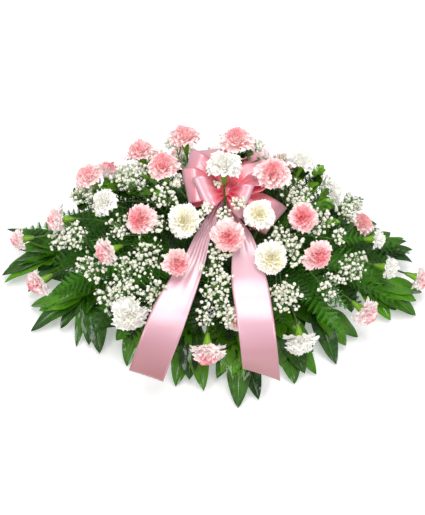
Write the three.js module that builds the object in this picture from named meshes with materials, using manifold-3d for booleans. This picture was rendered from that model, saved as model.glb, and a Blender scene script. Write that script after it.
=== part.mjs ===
// Casket spray: a long, low mound of cut flowers on a plastic saddle tray.
// Pink and white carnations stand over leatherleaf fern, with baby's breath between them.
// Broad palm leaflets fan out round the foot, and a satin bow with two long tails sits at the top.
// Millimetres, +X to the viewer's right, +Y to the back, +Z up, origin under the middle of the pad.

import * as THREE from "three";
import { mergeVertices } from "three/addons/utils/BufferGeometryUtils.js";
import Module from "manifold-3d";

const wasm = await Module();
wasm.setup();

// The room round a stem in its hole, and between a piece and what carries it
const CLEARANCE = 0.4;

// Holder
const PAD = { length: 430, depth: 136, thickness: 6, corner: 14 };
const TRAY = { length: 480, depth: 150, height: 36, wall: 3, corner: 20 };
const FOAM = { length: 464, depth: 134, top: 110, bevel: 8 };
const TAPE = { width: 25, thickness: 0.8, place: 200 };

// Stems stand in three rows of holes along the foam, each row joined by the fern that lies on it
const ROWS = { front: -38, middle: 0, back: 38 };
const ROW_REACH = 178;
const ROW_FERN = { height: 114, length: 204, width: 28, teeth: 3, lap: 6 };
const STEM = { radius: 2.2, sunk: 40, sides: 4, neck: 7, lean: 0.4, rise: 0.28, arrival: 0.32 };

// Carnation heads: the profile gives distance from the axis and height as shares of the head's radius
const CALYX = { length: 26, foot: 3.6, top: 8 };
const HEAD = { segments: 10, middle: 0.56, flutter: 0.13, lift: 0.1 };
const HEAD_PROFILE = [
  [0, 0],
  [1, 0.5],
  [0.6, 0.58],
  [0.8, 0.88],
  [0.38, 0.84],
  [0.46, 1.14],
  [0, 1.02],
];
const RIMS = { 1: 1, 3: -1, 5: 1 };

// Greenery
const FERN = { thickness: 1.2, rib: 2.2, teeth: 5, stalk: 0.24, sunk: 30, droop: 0.35 };
const LEAF = { rib: 2, fold: 0.16, widest: 0.4, shoulder: 0.76, narrowing: 0.34, arch: 0.12 };
const RACHIS = { radius: 2.4, tip: 1.4, lastLeaf: 0.96 };

// Baby's breath: the rods of a bunch, then the shape of a spray, the room that is kept round
// each piece, and how many places are tried for it
const BREATH = { stem: 1.8, branch: 1.4, branchTip: 1.1, twig: 1, floret: 5.4, sunk: 32, fork: 34 };
const SPRAY = { drop: 26, spread: 34, flatness: 0.7, florets: 4, twigStart: 2, twigStep: 5, steps: 3 };
const ROOM = { branch: 4.8, twig: 4, floret: 8.4, betweenFlorets: 14 };
const TRIES = { foot: 60, way: 400, floret: 600 };

// Satin ribbon and the bow's own directions, square to the way the bow faces
const RIBBON = { width: 72, thickness: 0.8, pinch: 14, loopGather: 74, slanted: 90 };
const BOW = { x: 20, y: -6, z: 300, lean: 50, knot: 13 };
const PICK = { radius: 2, sunk: 45 };

const COLOURS = {
  pink: 0xf29aa6,
  blush: 0xf7ccd2,
  white: 0xfaf8f2,
  foliage: 0x2f6b2a,
  palm: 0x1f5a22,
  breath: 0xf4f6ee,
  satin: 0xf3b4bf,
  foam: 0x3d6b3f,
  tray: 0x2c4a33,
  pad: 0x3a3a3a,
  tape: 0x2f5f38,
  pick: 0x4d6b38,
};

const UP = new THREE.Vector3(0, 0, 1);

function point(x, y, z) {
  return new THREE.Vector3(x, y, z);
}

// Azimuth 0 looks to the viewer and grows to the viewer's right; elevation is above the horizon
function towards(azimuth, elevation) {
  const a = THREE.MathUtils.degToRad(azimuth);
  const e = THREE.MathUtils.degToRad(elevation);
  return point(Math.sin(a) * Math.cos(e), -Math.cos(a) * Math.cos(e), Math.sin(e));
}

// Repeatable random numbers between 0 and 1
function seeded(seed) {
  let state = seed;
  return () => {
    state = (state * 1664525 + 1013904223) % 4294967296;
    return state / 4294967296;
  };
}

// Solids and geometries
function solidOf(geometry) {
  const bare = geometry.clone();
  bare.deleteAttribute("normal");
  bare.deleteAttribute("uv");
  const merged = mergeVertices(bare, 1e-3);
  return new wasm.Manifold(
    new wasm.Mesh({
      numProp: 3,
      vertProperties: merged.attributes.position.array,
      triVerts: new Uint32Array(merged.index.array),
    }),
  );
}

function geometryOf(solid) {
  const mesh = solid.getMesh();
  const geometry = new THREE.BufferGeometry();
  geometry.setAttribute("position", new THREE.BufferAttribute(mesh.vertProperties, 3));
  geometry.setIndex(new THREE.BufferAttribute(mesh.triVerts, 1));
  geometry.computeVertexNormals();
  return geometry;
}

function join(geometries) {
  return geometryOf(wasm.Manifold.union(geometries.map(solidOf)));
}

// Bends a geometry that runs along +Y from 0 to length, so that its middle line follows the curve.
// Its X side stays as near to the across direction as the curve allows.
function alongCurve(geometry, curve, length, across) {
  const bent = geometry.clone();
  const position = bent.getAttribute("position");
  const vertex = new THREE.Vector3();
  for (let i = 0; i < position.count; i += 1) {
    vertex.fromBufferAttribute(position, i);
    const share = THREE.MathUtils.clamp(vertex.y / length, 0, 1);
    const tangent = curve.getTangentAt(share);
    const side = across.clone().addScaledVector(tangent, -across.dot(tangent)).normalize();
    const normal = side.clone().cross(tangent);
    const place = curve.getPointAt(share);
    place.addScaledVector(side, vertex.x).addScaledVector(normal, vertex.z);
    position.setXYZ(i, place.x, place.y, place.z);
  }
  return bent;
}

function level(direction) {
  const flat = point(direction.x, direction.y, 0);
  return flat.lengthSq() > 1e-6 ? flat.normalize() : point(1, 0, 0);
}

function levelAcross(direction) {
  return UP.clone().cross(level(direction));
}

// A round rod along a curve, from radius to tip, with the given number of sides and steps
function rod(curve, radius, tip, sides, steps) {
  const length = curve.getLength();
  const profile = [new THREE.Vector2(0, 0)];
  for (let i = 0; i <= steps; i += 1) {
    profile.push(new THREE.Vector2(THREE.MathUtils.lerp(radius, tip, i / steps), (length * i) / steps));
  }
  profile.push(new THREE.Vector2(0, length));
  const ends = curve.getPointAt(1).sub(curve.getPointAt(0));
  return alongCurve(new THREE.LatheGeometry(profile, sides), curve, length, levelAcross(ends));
}

// Straight holes that the stems stand in, each a three-sided prism a little wider than its stem
const holes = [];

function addHole(bottom, top, radius) {
  const corner = 2 * (radius + CLEARANCE);
  const over = 8;
  const run = top.clone().sub(bottom);
  const length = run.length() + CLEARANCE + over;
  const prism = new THREE.CylinderGeometry(corner, corner, length, 3);
  prism.translate(0, length / 2 - CLEARANCE, 0);
  prism.applyQuaternion(new THREE.Quaternion().setFromUnitVectors(point(0, 1, 0), run.normalize()));
  prism.translate(bottom.x, bottom.y, bottom.z);
  holes.push(solidOf(prism));
}

// The way of a stem: straight through the foam and a little above it, then one smooth arch
function stemWay(mouth, end, facing, sunk, bend) {
  const reach = mouth.distanceTo(end);
  const out = level(end.clone().sub(mouth));
  const leaving = UP.clone().addScaledVector(out, STEM.lean).normalize();
  const bottom = mouth.clone().addScaledVector(leaving, -sunk);
  const neck = mouth.clone().addScaledVector(leaving, STEM.neck);
  const first = neck.clone().addScaledVector(leaving, STEM.rise * reach).add(bend);
  const last = end.clone().addScaledVector(facing, -STEM.arrival * reach);
  const way = new THREE.CurvePath();
  way.add(new THREE.LineCurve3(bottom, neck));
  way.add(new THREE.CubicBezierCurve3(neck, first, last, end));
  return way;
}

// Carnations: kind, middle of the head, the way it faces and its radius, then the row it stands in
// and how far its stem is led aside
const BLOOMS = [
  ["pink", [-67, 115, 337], [-171, 60], 33, "back"],
  ["pink", [40, 100, 342], [180, 68], 36, "back"],
  ["pink", [-160, 95, 316], [-148, 57], 31, "back"],
  ["pink", [-109, 20, 347], [-150, 73], 34, "middle"],
  ["pink", [-269, 60, 278], [-114, 57], 29, "middle"],
  ["blush", [-233, 108, 244], [163, 54], 28, "back"],
  ["white", [-228, -30, 298], [-74, 41], 28, "middle"],
  ["white", [13, 0, 370], [180, 68], 36, "front", [25, -150, 0]],
  ["pink", [111, 5, 342], [47, 82], 36, "middle"],
  ["white", [175, 75, 307], [146, 54], 31, "back"],
  ["white", [81, -85, 319], [-20, 66], 29, "front", [-20, -75, 0]],
  ["white", [-64, -100, 316], [15, 49], 33, "front"],
  ["pink", [20, -135, 308], [14, 27], 33, "front"],
  ["pink", [-79, -165, 266], [24, 15], 29, "front", [-30, 0, 0]],
  ["pink", [-152, -90, 310], [-26, 34], 31, "front"],
  ["blush", [-220, -130, 257], [-61, -4], 28, "front"],
  ["blush", [-336, 0, 208], [-83, 1], 29, "middle"],
  ["blush", [-429, 15, 127], [-76, 1], 24, "middle"],
  ["blush", [-383, -75, 90], [-58, -12], 31, "front"],
  ["white", [-179, -215, 160], [-7, 10], 36, "front"],
  ["pink", [-21, -270, 111], [-2, -30], 36, "front"],
  ["white", [167, -240, 103], [6, -30], 34, "front"],
  ["pink", [199, -130, 245], [31, 19], 32, "front"],
  ["pink", [169, -80, 302], [30, 46], 32, "front"],
  ["white", [105, -150, 263], [-6, 36], 31, "front"],
  ["white", [249, 55, 226], [95, 17], 28, "middle"],
  ["pink", [317, 60, 132], [114, 44], 28, "back"],
  ["white", [341, -15, 164], [84, 8], 21, "middle"],
  ["white", [366, -60, 122], [76, 1], 25, "middle"],
  ["blush", [441, -50, 73], [68, -5], 26, "front"],
  ["blush", [309, -160, 97], [49, -12], 31, "front"],
  ["blush", [42, -195, 127], [0, 20], 28, "front"],
  ["white", [0, 206, 188], [180, 30], 33, "back"],
  ["pink", [-150, 195, 190], [-160, 26], 32, "back"],
  ["pink", [150, 190, 182], [160, 26], 33, "back"],
  ["white", [-290, 150, 158], [-135, 22], 31, "back"],
  ["pink", [-75, 252, 150], [-170, 10], 33, "back"],
  ["blush", [95, 250, 148], [168, 10], 32, "back"],
].map(([kind, middle, [azimuth, elevation], radius, row, bend = [0, 0, 0]]) => ({
  kind,
  middle: point(...middle),
  facing: towards(azimuth, elevation),
  radius,
  row,
  bend: point(...bend),
}));

// A head is turned from its layered profile, and each rim is fluted out and in from petal to petal
function headGeometry(radius) {
  const profile = HEAD_PROFILE.map(([out, height]) => new THREE.Vector2(out * radius, height * radius));
  const geometry = new THREE.LatheGeometry(profile, HEAD.segments);
  const position = geometry.getAttribute("position");
  for (let i = 0; i < position.count; i += 1) {
    const ring = i % profile.length;
    const column = Math.floor(i / profile.length);
    const wave = (RIMS[ring] ?? 0) * (column % 2 ? -1 : 1);
    const stretch = 1 + HEAD.flutter * wave;
    position.setX(i, position.getX(i) * stretch);
    position.setZ(i, position.getZ(i) * stretch);
    position.setY(i, position.getY(i) + HEAD.lift * radius * wave);
  }
  return geometry;
}

function headBase(bloom) {
  return bloom.middle.clone().addScaledVector(bloom.facing, -HEAD.middle * bloom.radius);
}

function stemAndCalyx(bloom, mouth) {
  const end = headBase(bloom).addScaledVector(bloom.facing, -CLEARANCE);
  const way = stemWay(mouth, end, bloom.facing, STEM.sunk, bloom.bend);
  const length = way.getLength();
  const straight = STEM.sunk + STEM.neck;
  const free = length - straight - CALYX.length;
  addHole(way.getPointAt(0), mouth, STEM.radius);
  const profile = [
    [0, 0],
    [STEM.radius, 0],
    [STEM.radius, straight],
    [STEM.radius, straight + free * 0.5],
    [CALYX.foot, length - CALYX.length],
    [CALYX.top, length],
    [0, length],
  ].map(([out, along]) => new THREE.Vector2(out, along));
  const across = end.clone().sub(mouth).cross(bloom.facing);
  if (across.length() < 1) across.set(1, 0, 0);
  return alongCurve(new THREE.LatheGeometry(profile, STEM.sides), way, length, across.normalize());
}

// A plate between two faces split into the same triangles, from its outline, taken anticlockwise
function plate(outline, triangles, thickness) {
  const count = outline.length;
  const places = [];
  for (const height of [thickness / 2, -thickness / 2]) {
    for (const [x, y] of outline) places.push(x, y, height);
  }
  const index = [];
  for (const [a, b, c] of triangles) index.push(a, b, c, count + a, count + c, count + b);
  for (let i = 0; i < count; i += 1) {
    const next = (i + 1) % count;
    index.push(count + i, count + next, next, count + i, next, i);
  }
  const geometry = new THREE.BufferGeometry();
  geometry.setAttribute("position", new THREE.BufferAttribute(new Float32Array(places), 3));
  geometry.setIndex(index);
  return geometry;
}

// A fern blade lies in XY: a narrow stalk, then a rib with pointed teeth that shorten to the tip
function fernGeometry(length, width, teeth, sunk) {
  const straight = sunk + STEM.neck;
  const foot = sunk > 0 ? straight + FERN.stalk * length : 0;
  const step = (length - foot) / (teeth + 0.6);
  const stations = sunk > 0 ? [0, straight, (straight + foot) / 2] : [];
  const first = stations.length;
  const right = stations.map((along) => [FERN.rib, along]);
  for (let i = 0; i < teeth; i += 1) {
    const reach = (width / 2) * Math.sin(Math.PI * (0.24 + (0.68 * i) / teeth));
    right.push([FERN.rib, foot + i * step], [reach, foot + (i + 1.25) * step]);
  }
  right.push([FERN.rib, foot + teeth * step]);
  const left = right.map(([x, y]) => [-x, y]).reverse();
  const outline = [...right, [0, length], ...left];
  const mirror = (i) => outline.length - 1 - i;
  const ribs = right.map((_, i) => i).filter((i) => i < first || (i - first) % 2 === 0);
  const triangles = [[right.length - 1, right.length, right.length + 1]];
  for (let k = 0; k + 1 < ribs.length; k += 1) {
    const [a, b] = [ribs[k], ribs[k + 1]];
    triangles.push([a, b, mirror(b)], [a, mirror(b), mirror(a)]);
    if (b - a === 2) triangles.push([a, a + 1, b], [mirror(a), mirror(b), mirror(a + 1)]);
  }
  return plate(outline, triangles, FERN.thickness);
}

// The fern that lies along a row of stems, to the left or to the right of the middle
function rowFern(row, side) {
  const geometry = fernGeometry(ROW_FERN.length, ROW_FERN.width, ROW_FERN.teeth, 0);
  const start = point(-side * ROW_FERN.lap, ROWS[row], ROW_FERN.height);
  const end = point(side * (ROW_FERN.length - ROW_FERN.lap), ROWS[row], ROW_FERN.height);
  return alongCurve(geometry, new THREE.LineCurve3(start, end), ROW_FERN.length, levelAcross(end));
}

// Fern fronds: row, tip and width
const FERNS = [
  ["front", [-335, -120, 118], 66],
  ["front", [-250, -205, 96], 70],
  ["front", [-95, -262, 84], 70],
  ["front", [104, -248, 62], 44],
  ["front", [248, -205, 96], 70],
  ["front", [372, -118, 84], 60],
  ["middle", [-425, 62, 104], 64],
  ["middle", [420, 16, 84], 44],
  ["back", [-318, 178, 92], 68],
  ["back", [-150, 268, 84], 70],
  ["back", [20, 290, 84], 66],
  ["back", [170, 262, 84], 70],
  ["back", [330, 170, 92], 68],
].map(([row, tip, width]) => ({ row, tip: point(...tip), width }));

function fernFrond({ tip, width }, mouth) {
  const facing = level(tip.clone().sub(mouth)).addScaledVector(UP, -FERN.droop).normalize();
  const way = stemWay(mouth, tip, facing, FERN.sunk, point(0, 0, 0));
  const length = way.getLength();
  addHole(way.getPointAt(0), mouth, FERN.rib);
  const geometry = fernGeometry(length, width, FERN.teeth, FERN.sunk);
  return alongCurve(geometry, way, length, levelAcross(tip.clone().sub(mouth)));
}

// All that stands in one row: its holes are evenly spaced, in the order of the tips from left to right
function greensOf(row) {
  const standing = [
    ...BLOOMS.filter((bloom) => bloom.row === row).map((bloom) => ({
      x: bloom.middle.x,
      grow: (mouth) => stemAndCalyx(bloom, mouth),
    })),
    ...FERNS.filter((frond) => frond.row === row).map((frond) => ({
      x: frond.tip.x,
      grow: (mouth) => fernFrond(frond, mouth),
    })),
  ].sort((a, b) => a.x - b.x);
  const pieces = standing.map(({ grow }, i) => {
    const along = THREE.MathUtils.lerp(-ROW_REACH, ROW_REACH, i / (standing.length - 1));
    return grow(point(along, ROWS[row], FOAM.top));
  });
  return join([rowFern(row, -1), rowFern(row, 1), ...pieces]);
}

// Palm fronds: bunches with their hub in the foam, each stalk's end, and leaflets by the place
// of their base along the stalk, their tip and their width
const PALMS = {
  palm_left: {
    hub: [-196, 0, 56],
    stalks: [
      {
        end: [-352, 28, 78],
        leaflets: [
          [0.78, [-477, 106, 60], 26],
          [0.92, [-452, 60, 46], 30],
          [1, [-482, 6, 16], 36],
          [0.72, [-400, -10, 30], 34],
          [0.6, [-380, 118, 52], 36],
        ],
      },
      {
        end: [-296, -96, 60],
        leaflets: [
          [1, [-408, -77, 12], 40],
          [0.94, [-402, -142, 7], 34],
          [0.86, [-300, -182, 7], 20],
          [0.74, [-249, -200, 8], 42],
        ],
      },
    ],
  },
  palm_front_left: {
    hub: [-78, -36, 54],
    stalks: [
      {
        end: [-166, -140, 54],
        leaflets: [
          [1, [-190, -232, 7], 40],
          [0.86, [-252, -158, 40], 32],
          [0.8, [-128, -232, 24], 34],
        ],
      },
      {
        end: [-52, -168, 66],
        leaflets: [
          [1, [-86, -282, 7], 42],
          [0.92, [-28, -296, 12], 40],
        ],
      },
    ],
  },
  palm_front_right: {
    hub: [84, -36, 54],
    stalks: [
      {
        end: [44, -206, 50],
        leaflets: [
          [1, [42, -333, 6], 44],
          [0.9, [84, -316, 10], 38],
          [0.72, [8, -268, 34], 32],
        ],
      },
      {
        end: [142, -180, 52],
        leaflets: [
          [1, [160, -276, 7], 42],
          [0.84, [206, -256, 12], 36],
          [0.76, [112, -252, 26], 30],
        ],
      },
      {
        end: [224, -128, 54],
        leaflets: [
          [1, [302, -158, 8], 40],
          [0.88, [250, -228, 8], 38],
        ],
      },
    ],
  },
  palm_right: {
    hub: [196, 0, 56],
    stalks: [
      {
        end: [330, -56, 62],
        leaflets: [
          [1, [454, -41, 14], 44],
          [0.96, [434, -100, 8], 46],
          [0.84, [376, -116, 12], 40],
          [0.7, [360, -12, 40], 34],
        ],
      },
      {
        end: [352, 36, 76],
        leaflets: [
          [1, [421, 78, 60], 22],
          [0.98, [440, 54, 48], 22],
          [0.96, [438, 28, 36], 24],
          [0.7, [372, 118, 48], 34],
        ],
      },
    ],
  },
  palm_back_left: {
    hub: [-90, 36, 54],
    stalks: [
      {
        end: [-262, 122, 58],
        leaflets: [
          [1, [-372, 172, 10], 42],
          [0.86, [-292, 222, 8], 42],
          [0.74, [-330, 86, 34], 34],
        ],
      },
      {
        end: [-128, 178, 58],
        leaflets: [
          [1, [-152, 296, 8], 44],
          [0.86, [-218, 262, 10], 40],
          [0.8, [-76, 272, 30], 34],
        ],
      },
    ],
  },
  palm_back_right: {
    hub: [90, 36, 54],
    stalks: [
      {
        end: [262, 122, 58],
        leaflets: [
          [1, [376, 166, 10], 42],
          [0.86, [300, 220, 8], 42],
          [0.74, [330, 84, 34], 34],
        ],
      },
      {
        end: [138, 180, 58],
        leaflets: [
          [1, [160, 296, 8], 44],
          [0.86, [226, 258, 10], 40],
          [0.8, [92, 276, 30], 34],
        ],
      },
      {
        end: [14, 186, 60],
        leaflets: [
          [1, [6, 310, 8], 44],
          [0.86, [-44, 286, 14], 34],
        ],
      },
    ],
  },
};

// A leaflet is a four-sided pointed blade, with its rib raised and its edges turned down
function leafletGeometry(length, width) {
  const profile = [
    [0, 0],
    [width / 2, length * LEAF.widest],
    [width * LEAF.narrowing, length * LEAF.shoulder],
    [0, length],
  ].map(([out, along]) => new THREE.Vector2(out, along));
  const geometry = new THREE.LatheGeometry(profile, 4);
  const position = geometry.getAttribute("position");
  for (let i = 0; i < position.count; i += 1) {
    const out = Math.abs(position.getX(i));
    const across = Math.abs(position.getZ(i)) > out;
    const rib = across ? (Math.sign(position.getZ(i)) * LEAF.rib) / 2 : 0;
    position.setX(i, across ? 0 : position.getX(i));
    position.setZ(i, rib - (across ? 0 : LEAF.fold * out));
  }
  return geometry;
}

function leaflet(base, tip, width) {
  const run = tip.clone().sub(base);
  const crest = base.clone().addScaledVector(run, 0.5).addScaledVector(UP, LEAF.arch * run.length());
  const curve = new THREE.QuadraticBezierCurve3(base, crest, tip);
  const length = curve.getLength();
  return alongCurve(leafletGeometry(length, width), curve, length, levelAcross(run));
}

// Where a straight stalk from the hub comes out of the foam's side or end
function foamExit(hub, end) {
  const run = end.clone().sub(hub);
  const shares = [
    (FOAM.length / 2 - Math.sign(run.x) * hub.x) / Math.abs(run.x),
    (FOAM.depth / 2 - Math.sign(run.y) * hub.y) / Math.abs(run.y),
  ];
  return hub.clone().addScaledVector(run, Math.min(...shares));
}

function palmBunch({ hub, stalks }) {
  const pieces = [];
  const root = point(...hub);
  for (const { end, leaflets } of stalks) {
    const far = point(...end);
    const exit = foamExit(root, far);
    const slope = exit.clone().sub(root).normalize();
    const crest = exit.clone().addScaledVector(slope, exit.distanceTo(far) / 2);
    const way = new THREE.CurvePath();
    way.add(new THREE.LineCurve3(root, exit));
    way.add(new THREE.QuadraticBezierCurve3(exit, crest, far));
    addHole(root, exit, RACHIS.radius);
    pieces.push(rod(way, RACHIS.radius, RACHIS.tip, 4, 2));
    for (const [share, tip, width] of leaflets) {
      const base = way.getPointAt(Math.min(share, RACHIS.lastLeaf));
      pieces.push(leaflet(base, point(...tip), width));
    }
  }
  return join(pieces);
}

// The bow's directions: across the ribbon bow, up its face, and out of its face to the viewer
const BOW_MIDDLE = point(BOW.x, BOW.y, BOW.z);
const BOW_OUT = towards(0, BOW.lean);
const BOW_UP = towards(180, 90 - BOW.lean);

function inBow(across, rise, out) {
  return point(across, 0, 0).addScaledVector(BOW_UP, rise).addScaledVector(BOW_OUT, out);
}

// Bow loops: the way to the middle of the fold and the fold's own direction, both as across, up and
// out of the bow's face, then how far the loop stands open
const LOOPS = [
  { fold: [-85, 9, 8], crease: [-15, 68, -14], open: 19 },
  { fold: [-82, 53, -14], crease: [16, 64, -10], open: 14 },
  { fold: [-30, 88, -24], crease: [58, 6, -26], open: 5 },
  { fold: [-54, -8, 38], crease: [-30, 63, -2], open: 14 },
  { fold: [84, 62, -40], crease: [-46, 50, -16], open: 6 },
  { fold: [72, 26, 0], crease: [-12, 35, -61], open: 7 },
  { fold: [100, -60, -16], crease: [45, 47, -20], open: 10 },
  { fold: [39, -23, 40], crease: [24, 66, 0], open: 14 },
];

// A ribbon strip runs along +Y, gathered at its start, and at its end too where both are tied. Its
// underside is cut into triangles along the top's diagonals, so it stays as thick where it twists.
function stripGeometry(length, steps, gather, bothEnds) {
  const geometry = new THREE.BoxGeometry(1, length, RIBBON.thickness, 1, steps, 1);
  geometry.translate(0, length / 2, 0);
  const position = geometry.getAttribute("position");
  for (let i = 0; i < position.count; i += 1) {
    const y = position.getY(i);
    const near = bothEnds ? Math.min(y, length - y) : y;
    const share = THREE.MathUtils.smoothstep(near, 0, gather);
    const width = THREE.MathUtils.lerp(RIBBON.pinch, RIBBON.width, share);
    position.setX(i, position.getX(i) * width);
  }
  const index = geometry.getIndex();
  const underside = geometry.groups[5];
  for (let i = underside.start; i < underside.start + underside.count; i += 6) {
    const [a, b, d, , c] = index.array.slice(i, i + 5);
    index.array.set([a, b, c, a, c, d], i);
  }
  return geometry;
}

function bowLoop({ fold, crease, open }) {
  const out = inBow(...fold);
  const reach = out.length();
  const axis = out.clone().normalize();
  const across = inBow(...crease).normalize();
  const loft = axis.clone().cross(across).normalize();
  const at = (along, away) =>
    BOW_MIDDLE.clone().addScaledVector(axis, along * reach).addScaledVector(loft, away * open);
  const curve = new THREE.CatmullRomCurve3([
    at(0.02, 0.05),
    at(0.35, 0.45),
    at(0.8, 1),
    at(1, 0),
    at(0.8, -1),
    at(0.35, -0.45),
    at(0.02, -0.05),
  ]);
  const length = curve.getLength();
  return alongCurve(stripGeometry(length, 8, RIBBON.loopGather, true), curve, length, across);
}

function bowKnot() {
  const knot = new THREE.IcosahedronGeometry(BOW.knot);
  return knot.translate(BOW_MIDDLE.x, BOW_MIDDLE.y, BOW_MIDDLE.z);
}

// Tails: the middle line from the knot down over the mound, how far the gathers reach along it, and
// the slant of the cut end
const TAILS = {
  bow_tail_left: {
    way: [
      [11, -13.6, 290.4],
      [-2, -34, 280],
      [-12, -58, 272],
      [-31, -95, 256],
      [-44, -130, 238],
      [-67, -180, 219],
      [-90, -230, 201],
      [-111, -275, 173],
      [-141, -319, 103],
    ],
    gather: 290,
    slant: 0,
  },
  bow_tail_right: {
    way: [
      [27, -14, 287],
      [25, -36, 271],
      [35, -60, 264],
      [46, -92, 266],
      [54, -122, 254],
      [62, -172, 221],
      [68, -205, 204],
      [75, -250, 181],
      [81, -285, 148],
      [89, -319, 80],
    ],
    gather: 205,
    slant: 36,
  },
};

function bowTail({ way, gather, slant }) {
  const curve = new THREE.CatmullRomCurve3(way.map((place) => point(...place)));
  const length = curve.getLength();
  const geometry = stripGeometry(length, 14, gather, false);
  const position = geometry.getAttribute("position");
  for (let i = 0; i < position.count; i += 1) {
    const y = position.getY(i);
    const share = THREE.MathUtils.smoothstep(y, length - RIBBON.slanted, length);
    position.setY(i, y - share * slant * (0.5 - position.getX(i) / RIBBON.width));
  }
  return alongCurve(geometry, curve, length, point(1, 0, 0));
}

// A wooden pick carries the bow: it stands in the foam and ends just under the knot
function bowPick() {
  const knot = bowKnot();
  knot.computeBoundingBox();
  const top = point(BOW.x, BOW.y, knot.boundingBox.min.z - CLEARANCE);
  const bottom = point(BOW.x, (ROWS.front + ROWS.middle) / 2, FOAM.top - PICK.sunk);
  const hole = bottom.clone().lerp(top, PICK.sunk / (top.z - bottom.z));
  addHole(bottom, hole, PICK.radius);
  return rod(new THREE.LineCurve3(bottom, top), PICK.radius, PICK.radius, 6, 1);
}

// Points on the surfaces of finished pieces, kept by cell, so that later pieces can keep clear
const CELL = 14;
const SPACING = 4;
const taken = new Map();

function cellKey(x, y, z) {
  return `${Math.floor(x / CELL)} ${Math.floor(y / CELL)} ${Math.floor(z / CELL)}`;
}

function takeSpace(mesh) {
  mesh.updateMatrixWorld(true);
  const loose = mesh.geometry.index ? mesh.geometry.toNonIndexed() : mesh.geometry;
  const position = loose.getAttribute("position");
  for (let i = 0; i < position.count; i += 3) {
    const corners = [0, 1, 2].map((k) =>
      new THREE.Vector3().fromBufferAttribute(position, i + k).applyMatrix4(mesh.matrixWorld),
    );
    const longest = Math.max(
      corners[0].distanceTo(corners[1]),
      corners[1].distanceTo(corners[2]),
      corners[2].distanceTo(corners[0]),
    );
    const steps = Math.ceil(longest / SPACING);
    for (let a = 0; a <= steps; a += 1) {
      for (let b = 0; b <= steps - a; b += 1) {
        const place = corners[0].clone().multiplyScalar(1 - (a + b) / steps);
        place.addScaledVector(corners[1], a / steps).addScaledVector(corners[2], b / steps);
        const key = cellKey(place.x, place.y, place.z);
        if (!taken.has(key)) taken.set(key, []);
        taken.get(key).push(place);
      }
    }
  }
}

function isClear(place, distance) {
  for (let dx = -CELL; dx <= CELL; dx += CELL) {
    for (let dy = -CELL; dy <= CELL; dy += CELL) {
      for (let dz = -CELL; dz <= CELL; dz += CELL) {
        const near = taken.get(cellKey(place.x + dx, place.y + dy, place.z + dz)) ?? [];
        if (near.some((other) => other.distanceTo(place) < distance)) return false;
      }
    }
  }
  return true;
}

function wayIsClear(curve, distance) {
  const steps = Math.ceil(curve.getLength() / SPACING);
  for (let i = 0; i <= steps; i += 1) {
    if (!isClear(curve.getPointAt(i / steps), distance)) return false;
  }
  return true;
}

// Baby's breath: bunches by the place of their hole and fork, then each spray's middle
const BREATHS = {
  babys_breath_left: {
    hole: [-112, -19],
    sprays: [
      [-106, -60, 345],
      [-168, 20, 316],
      [-331, -20, 180],
      [-252, -125, 215],
      [-221, -170, 166],
      [-137, -140, 258],
      [-130, -196, 200],
      [-290, -60, 226],
    ],
  },
  babys_breath_centre: {
    hole: [-14, -19],
    sprays: [
      [-10, -172, 250],
      [13, -215, 190],
      [42, -66, 318],
      [-38, -72, 326],
    ],
  },
  babys_breath_right: {
    hole: [112, -19],
    sprays: [
      [155, -5, 296],
      [129, -110, 275],
      [143, -195, 190],
      [272, 15, 216],
      [226, -160, 186],
      [274, -115, 186],
      [195, -70, 262],
      [300, -60, 150],
    ],
  },
  babys_breath_back: {
    hole: [-20, 19],
    sprays: [
      [-86, 125, 316],
      [84, 100, 317],
      [-279, 45, 251],
      [-64, 200, 240],
      [82, 200, 238],
      [-215, 170, 190],
      [230, 150, 180],
      [8, 248, 170],
    ],
  },
};

function floret(from, to) {
  const length = from.distanceTo(to);
  const profile = [
    [0, 0],
    [BREATH.twig, length - BREATH.floret],
    [BREATH.floret, length],
    [0, length + BREATH.floret],
  ].map(([out, along]) => new THREE.Vector2(out, along));
  const run = to.clone().sub(from).normalize();
  const turn = new THREE.Quaternion().setFromUnitVectors(point(0, 1, 0), run);
  return new THREE.LatheGeometry(profile, 3).applyQuaternion(turn).translate(from.x, from.y, from.z);
}

// A seeded step of up to the given reach each way
function sideStep(reach, random) {
  return point(random() - 0.5, random() - 0.5, random() - 0.5).multiplyScalar(2 * reach);
}

// A clear way from the bunch's stem to the foot of a spray, found by trying wider and wider bends
function branchWay(from, to, random) {
  const reach = from.distanceTo(to);
  for (let attempt = 0; attempt < TRIES.way; attempt += 1) {
    const sway = THREE.MathUtils.lerp(0.08, 0.43, attempt / TRIES.way) * reach;
    const first = from.clone().lerp(to, 0.33).addScaledVector(UP, 0.1 * reach);
    const last = from.clone().lerp(to, 0.7).addScaledVector(UP, 0.05 * reach);
    first.add(sideStep(sway, random));
    last.add(sideStep(sway, random));
    const way = new THREE.CubicBezierCurve3(from, first, last, to);
    if (wayIsClear(way, ROOM.branch)) return way;
  }
  return null;
}

// The way to a spray whose foot, a little below its middle, is clear too
function sprayWay(fork, middle, out, random) {
  for (let attempt = 0; attempt < TRIES.foot; attempt += 1) {
    const foot = middle.clone().addScaledVector(out, -SPRAY.drop).add(sideStep(attempt / 2, random));
    const way = isClear(foot, ROOM.branch) ? branchWay(fork, foot, random) : null;
    if (way) return way;
  }
  throw new Error(`no clear way to the spray at ${middle.toArray()}`);
}

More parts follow.
